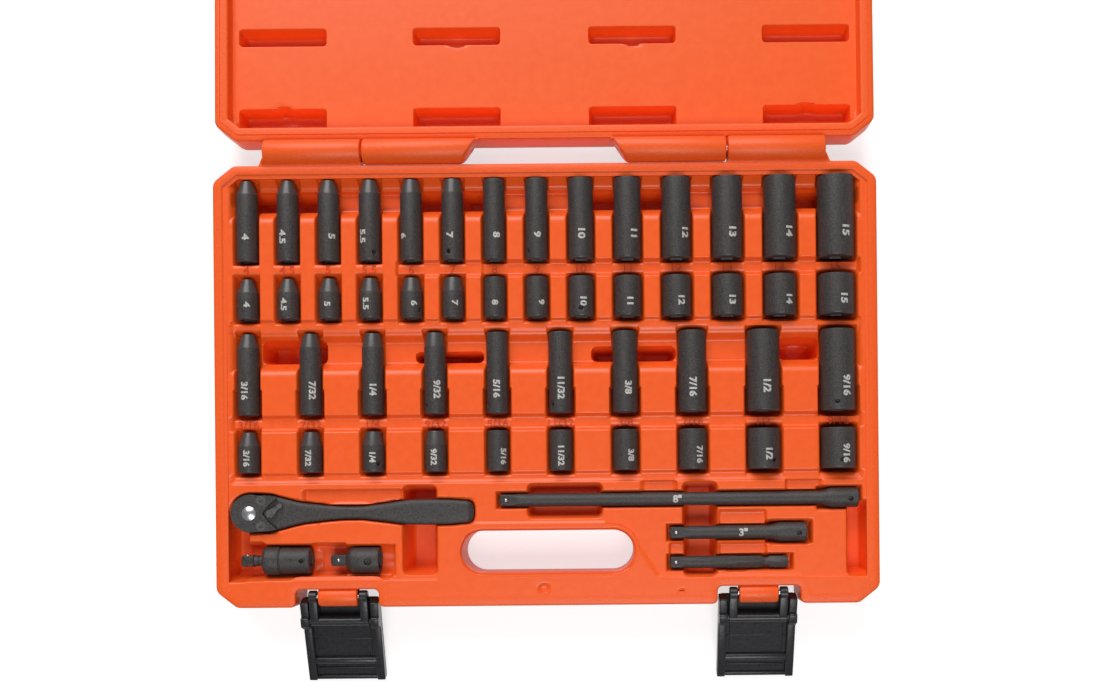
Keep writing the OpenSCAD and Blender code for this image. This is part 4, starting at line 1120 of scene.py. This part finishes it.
def wrapped(flat, faces, radius, turn=0.0, slices=0.45):
    """Flat letters bent round a cylinder along Y: reading runs to -Y, and up runs round the bar
    to +X. They are cut into strips first, so that they follow the curve, then closed with a thin
    wall."""
    mesh = bpy.data.meshes.new("print")
    mesh.from_pydata(np.column_stack([flat, np.zeros(len(flat))]).tolist(), [], faces)
    bm = bmesh.new()
    bm.from_mesh(mesh)
    low, high = flat[:, 1].min(), flat[:, 1].max()
    for cut in np.arange(low + slices, high, slices):
        bmesh.ops.bisect_plane(
            bm, geom=bm.verts[:] + bm.edges[:] + bm.faces[:], plane_co=(0, cut, 0),
            plane_no=(0, 1, 0), dist=1e-5,
        )
    bm.to_mesh(mesh)
    bm.free()
    co = np.zeros(len(mesh.vertices) * 3)
    mesh.vertices.foreach_get("co", co)
    polygons = [list(p.vertices) for p in mesh.polygons]
    bpy.data.meshes.remove(mesh)
    solid, solid_faces = raised(co.reshape(-1, 3)[:, :2], polygons, print_thick)
    angle = turn + solid[:, 1] / radius
    r = radius + print_lift + solid[:, 2]
    return np.column_stack([r * np.sin(angle), -solid[:, 0], r * np.cos(angle)]), solid_faces


metric_af = [4, 4.5, 5, 5.5, 6, 7, 8, 9, 10, 11, 12, 13, 14, 15]
inch_af = [25.4 * n / d for n, d in (
    (3, 16), (7, 32), (1, 4), (9, 32), (5, 16), (11, 32), (3, 8), (7, 16), (1, 2), (9, 16)
)]
# Which deep and shallow socket lies with its ball hole up, as a step of the turn.
shown_holes = {
    "5.5": (15, None), "7": (29, None), "9": (37, None), "6": (None, 8), "10": (None, 24),
    "9/32": (38, None), "5/16": (39, None), "11/32": (36, None), "9/16": (27, 23),
    "1/4": (None, 14), "1/2": (None, 15),
}
# How far each deep and shallow socket lies turned, seen at its print, in millimetres.
metric_print = [
    (0.6, 1.0), (-1.8, -1.3), (2.8, 0), (-3.3, -1.7), (-3.8, 2.2), (-1.1, 1.6), (1.8, 0.6),
    (0.8, 2.8), (0.7, 1.4), (3.7, 1.2), (4.7, 2.3), (2.4, 2.0), (4.4, 4.1), (4.1, 2.8),
]
inch_print = [
    (-0.8, 0), (2.1, -0.6), (1.0, 0.3), (1.7, -0.5), (0, 3.5), (0.6, 0.3), (1.8, 3.0), (0, 3.5),
    (1.2, 2.0), (3.5, 3.0),
]
kits = [
    (zip(metric_sizes, metric_af, metric_od, metric_x, metric_print), "mm",
     metric_deep_y, metric_shallow_y),
    (zip(inch_sizes, inch_af, inch_od, inch_x, inch_print), "in", inch_deep_y, inch_shallow_y),
]
for pairs, unit, deep_y, shallow_y in kits:
    for size, af, od, px, shift in pairs:
        tag = size.replace(".", "_").replace("/", "_") + unit
        deep_hole, shallow_hole = shown_holes.get(size, (None, None))
        solids, turned_nose_and_rim_highlight_rows, prints = [], [], []
        for y0, length, hex_depth, hole in (
            (deep_y, deep_len, 16.0, deep_hole), (shallow_y, shallow_len, 10.0, shallow_hole)
        ):
            hidden = 72 if hole is None else hole
            points, faces, turned_nose_and_rim_highlight = socket_solid(af, od, length, hex_depth, hidden)
            solids.append((points + [px, y0, axis_z], faces))
            turned_nose_and_rim_highlight_rows.append(turned_nose_and_rim_highlight)
            tall = (3.3 if length < 30 else 3.7) + 0.07 * (od - 12)
            flat, flat_faces = figures(size, tall, 0.042, 1.12 if "/" in size else 1.26)
            print_y = y0 + (0.3 if length > 30 else 0.36) * length
            turn = math.asin(shift[length < 30] / (od / 2))
            mark, mark_faces = wrapped(flat, flat_faces, od / 2, turn)
            prints.append((mark + [px, print_y, axis_z], mark_faces))
        made = steel_piece(f"socket_pair_{tag}", joined(solids), f"pair_{tag}", f"sockets_{tag}")
        # Second slot: the lighter turned steel, on the nose and, as a painted highlight, on the
        # drive-end chamfer.
        made.data.materials.append(turned_steel)
        slots = np.concatenate(turned_nose_and_rim_highlight_rows).astype(np.int32)
        made.data.polygons.foreach_set("material_index", slots)
        piece(
            f"size_print_{tag}", *joined(prints), f"pair_{tag}", "phosphate_steel", white_paint,
            [], 60,
        )


# ---------- ratchet ----------
# A forged ratchet, phosphated like the sockets: a round head closed by a plate with two screws,
# a selector in a fan-shaped cut, a chromed release button, and a waisted handle.


def ratchet_form():
    """The handle's cross-section is a softened box, |w|^n + |h|^n = 1, carried along the handle's
    line of half widths; the head is a disc turned about its own axis."""
    end_steps = np.sin(np.linspace(0, 1, 12) * math.pi / 2)
    u = np.concatenate([np.linspace(7, 112, 60), grip_end + grip_end_r * end_steps])
    past = np.maximum(u - grip_end, 0) / grip_end_r
    end = grip_end_r * np.maximum(1 - past**end_power, 0) ** (1 / end_power)
    half = np.where(u <= grip_end, grip_half(u), end)
    tall = np.interp(
        u, [7, 18, 30, 60, 90, 112, 121, 124], [4.7, 4.6, 3.9, 3.6, 3.8, 3.8, 3.2, 1.2]
    )
    mid = np.interp(u, [7, 20, 40, 124], [27.0, 27.0, 27.8, 27.8])
    a = np.linspace(0, 2 * math.pi, 48, endpoint=False)
    n = np.interp(u, [7, 30, 60, 110, 124], [6, 4, 3.2, 4.2, 3])[:, None]
    cy = np.sign(np.cos(a)) * np.abs(np.cos(a)) ** (2 / n)
    cz = np.sign(np.sin(a)) * np.abs(np.sin(a)) ** (2 / n)
    along = np.broadcast_to(u[:, None], cy.shape)
    rows = [along, half[:, None] * cy, mid[:, None] + tall[:, None] * cz]
    points = np.stack(rows, -1).reshape(-1, 3)
    faces = grid_faces(len(u), 48, False, True).tolist()
    faces += [list(range(48)), [len(points) - 48 + i for i in reversed(range(48))]]
    low, high, r = 22.2, 31.7, grip_line[0, 1]
    head, head_faces = turned([
        (low, 0), (low, r - 1.2), (low + 0.3, r - 0.5), (low + 1, r), (high - 0.8, r),
        (high - 0.3, r - 0.2), (high, r - 0.7), (high, 0),
    ], turn_steps)
    return joined([(points, faces), (head[:, [1, 2, 0]], head_faces)])


# Screws and selector lever: a light grey half-metal, its pale grey a painted sheen standing in for
# the shine of the polished parts.
steel_painted_sheen = finish_of(
    "steel_painted_sheen", (128, 126, 126), (104, 102, 102), 900, 0.1, (0.18, 0.28), 0.5
)
points, faces = ratchet_form()
steel_piece(
    "ratchet_handle", (points + [ratchet_x, ratchet_y, 0], faces), "ratchet", "ratchet_body"
)
button_low, button_edge, button_top = 33.25, 33.9, 35.0
button_r = np.linspace(3.9, 0, 10)
button_z = button_edge + (button_top - button_edge) * (1 - (button_r / button_r[0]) ** 2)
button, faces = turned([(button_low, 0), (button_low, button_r[0]), *zip(button_z, button_r)])
piece(
    "release_dome", button[:, [1, 2, 0]] + [ratchet_x, ratchet_y, 0], faces, "ratchet_button",
    "bright_steel", bright_steel, ["release_button"],
)
dressed = (
    (phosphate, ("ratchet_cover",)),
    (steel_painted_sheen, ("ratchet_screws", "selector_lever")),
    (turned_steel, ("drive_gear", "pawl", "joint_pin")),
    (bright_steel, (
        "drive_ball", "joint_ball", "adapter_ball", "long_extension_ball", "short_extension_ball",
        "bit_adapter_ball",
    )),
)
for finish, nodes in dressed:
    for node in nodes:
        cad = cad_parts[node]
        cad.data.materials.clear()
        cad.data.materials.append(finish)


# ---------- universal joint ----------
# A ball-headed drive end held in a barrel by a cross pin, so that it tips every way. Both parts
# are turned from bar and phosphated.

joint_place = np.array([joint_x, joint_y, joint_z])
barrel_start, collar_end, ball_x = 12.4, 21.6, 19.4
hole_x, waist_r = joint_len - bar_hole, 7.35
points, faces = turned([
    *[(ball_x + 6.35 * math.cos(t), 6.35 * math.sin(t)) for t in np.linspace(0, math.pi / 2, 4)],
    (barrel_start + 0.6, 6.1), (barrel_start, 6.7), (barrel_start + 0.3, 7.3),
    (barrel_start + 1.3, 7.9), (barrel_start + 2.2, 8), (collar_end - 0.6, 8), (collar_end, 7.6),
    (collar_end + 0.15, 7.25), (collar_end + 0.6, 7.25), (collar_end + 0.9, 7.6),
    *hole_rows(hole_x, waist_r), (joint_len - 1, 7.25), (joint_len - 0.3, 6.9), (joint_len, 6.3),
    *square_mouth(joint_len, 3.5),
], turn_steps)
points = drilled(points, 14 + 6, 24, waist_r, hole_x)
steel_piece("joint_barrel_turned", (points + joint_place, faces), "joint", "joint_barrel")
ball_turns = np.linspace(-1.03, math.pi / 2, 24)
ball_line = [(ball_x + 6 * math.sin(t), 6 * math.cos(t)) for t in ball_turns]
points, faces = turned([
    *square_tip(2.4, 4.0, 6.2), (6.8, 3.6, 3.5, 4), (7.2, 3.05), (9.2, 3.05), (9.5, 2.7),
    (10.2, 2.7), (10.5, 3.05), *ball_line,
], turn_steps)
steel_piece("joint_drive_turned", (points + joint_place, faces), "joint_end", "joint_drive_end")


# ---------- adapter ----------
# A short adapter from a quarter-inch socket drive to a larger square, turned and phosphated.

points, faces = turned([
    *square_tip(2.5, 4.1, 8.2), (8.8, 4.2, 3.9, 4), (9.2, 4.9), (11.4, 7.0), (12.0, 7.3),
    *hole_rows(adapter_hole, 7.3),
    (adapter_len - 0.8, 7.3), (adapter_len - 0.2, 7.0), (adapter_len, 6.6),
    (adapter_len, 6.5, 5.0, 4), (adapter_len - 0.4, 6.5, 4.8, 4), (adapter_len - 10.4, 6.5, 4.8, 4),
    (adapter_len - 10.5, 0),
], turn_steps)
points = drilled(points, 9 + 6, 26, 7.3, adapter_hole, 1.55)
points += [adapter_x, joint_y, joint_z]
steel_piece("adapter_turned", (points, faces), "adapter", "adapter_body")


# ---------- extensions ----------
# Two extension bars, each a shaft with a drive square at one end and a socket end at the other,
# marked with its length in inches.


def extension_form(length, end_r, turn):
    """An extension as turned rows: square, shaft, cone, socket end with its cross hole."""
    cone = length - 21
    rows = [
        *square_tip(2.5, 4.1, 7.4), (8.6, shaft_r, 3.3, 4), (10.4, shaft_r, shaft_r, 4),
        (10.8, shaft_r), (cone, shaft_r), (cone + 1.4, 4.0), (cone + 5.2, end_r - 0.2),
        (cone + 6.4, end_r), *hole_rows(length - bar_hole, end_r), (length - 0.6, end_r),
        (length - 0.1, end_r - 0.35), (length, end_r - 0.7), *square_mouth(length, 3.4),
    ]
    points, faces = turned(rows, turn_steps)
    return drilled(points, 12 + 6, turn, end_r, length - bar_hole), faces


def along_bar(text, tall, radius, heavy=0.02):
    """A printed mark bent round a bar along X: reading runs to +X, and up runs round the bar
    to +Y."""
    mark, faces = wrapped(*figures(text, tall, heavy), radius)
    return mark[:, [1, 0, 2]] * [-1, 1, 1], faces


for tag, x, y, length, end_r, inches, mark_x in (
    ("long", long_x, long_y, long_len, 5.6, '8"', 72.0),
    ("short", short_x, short_y, short_len, 5.4, '3"', 108.5),
):
    points, faces = extension_form(length, end_r, 26)
    points += [x, y, axis_z]
    steel_piece(f"{tag}_bar", (points, faces), f"extension_{tag}", f"{tag}_extension")
    mark, mark_faces = along_bar(inches, 4.2, shaft_r, 0.045)
    piece(
        f"{tag}_bar_print", mark + [mark_x, y, axis_z], mark_faces, f"extension_{tag}",
        "phosphate_steel", white_paint, [], 60,
    )


# ---------- bit holder ----------
# An adapter from a drive square to the quarter-inch hexagon that a bit driver grips.

bit_groove = bit_len - 15
points, faces = turned([
    *square_tip(2.4, 3.9, 6.4), (7.4, 3.5, 3.4, 4), (8.2, 3.5), (36.6, 3.5),
    (37.2, 3.67, 3.175, 6), (bit_groove - 0.1, 3.67, 3.175, 6),
    (bit_groove + 1.5, 2.5), (bit_groove + 3.4, 2.5), (bit_groove + 5.1, 3.67, 3.175, 6),
    (bit_len - 1.1, 3.67, 3.175, 6), (bit_len - 0.2, 3.0), (bit_len, 2.7), (bit_len, 0),
], turn_steps)
steel_piece("bit_bar", (points + [short_x, bit_y, axis_z], faces), "bit_holder", "bit_adapter")
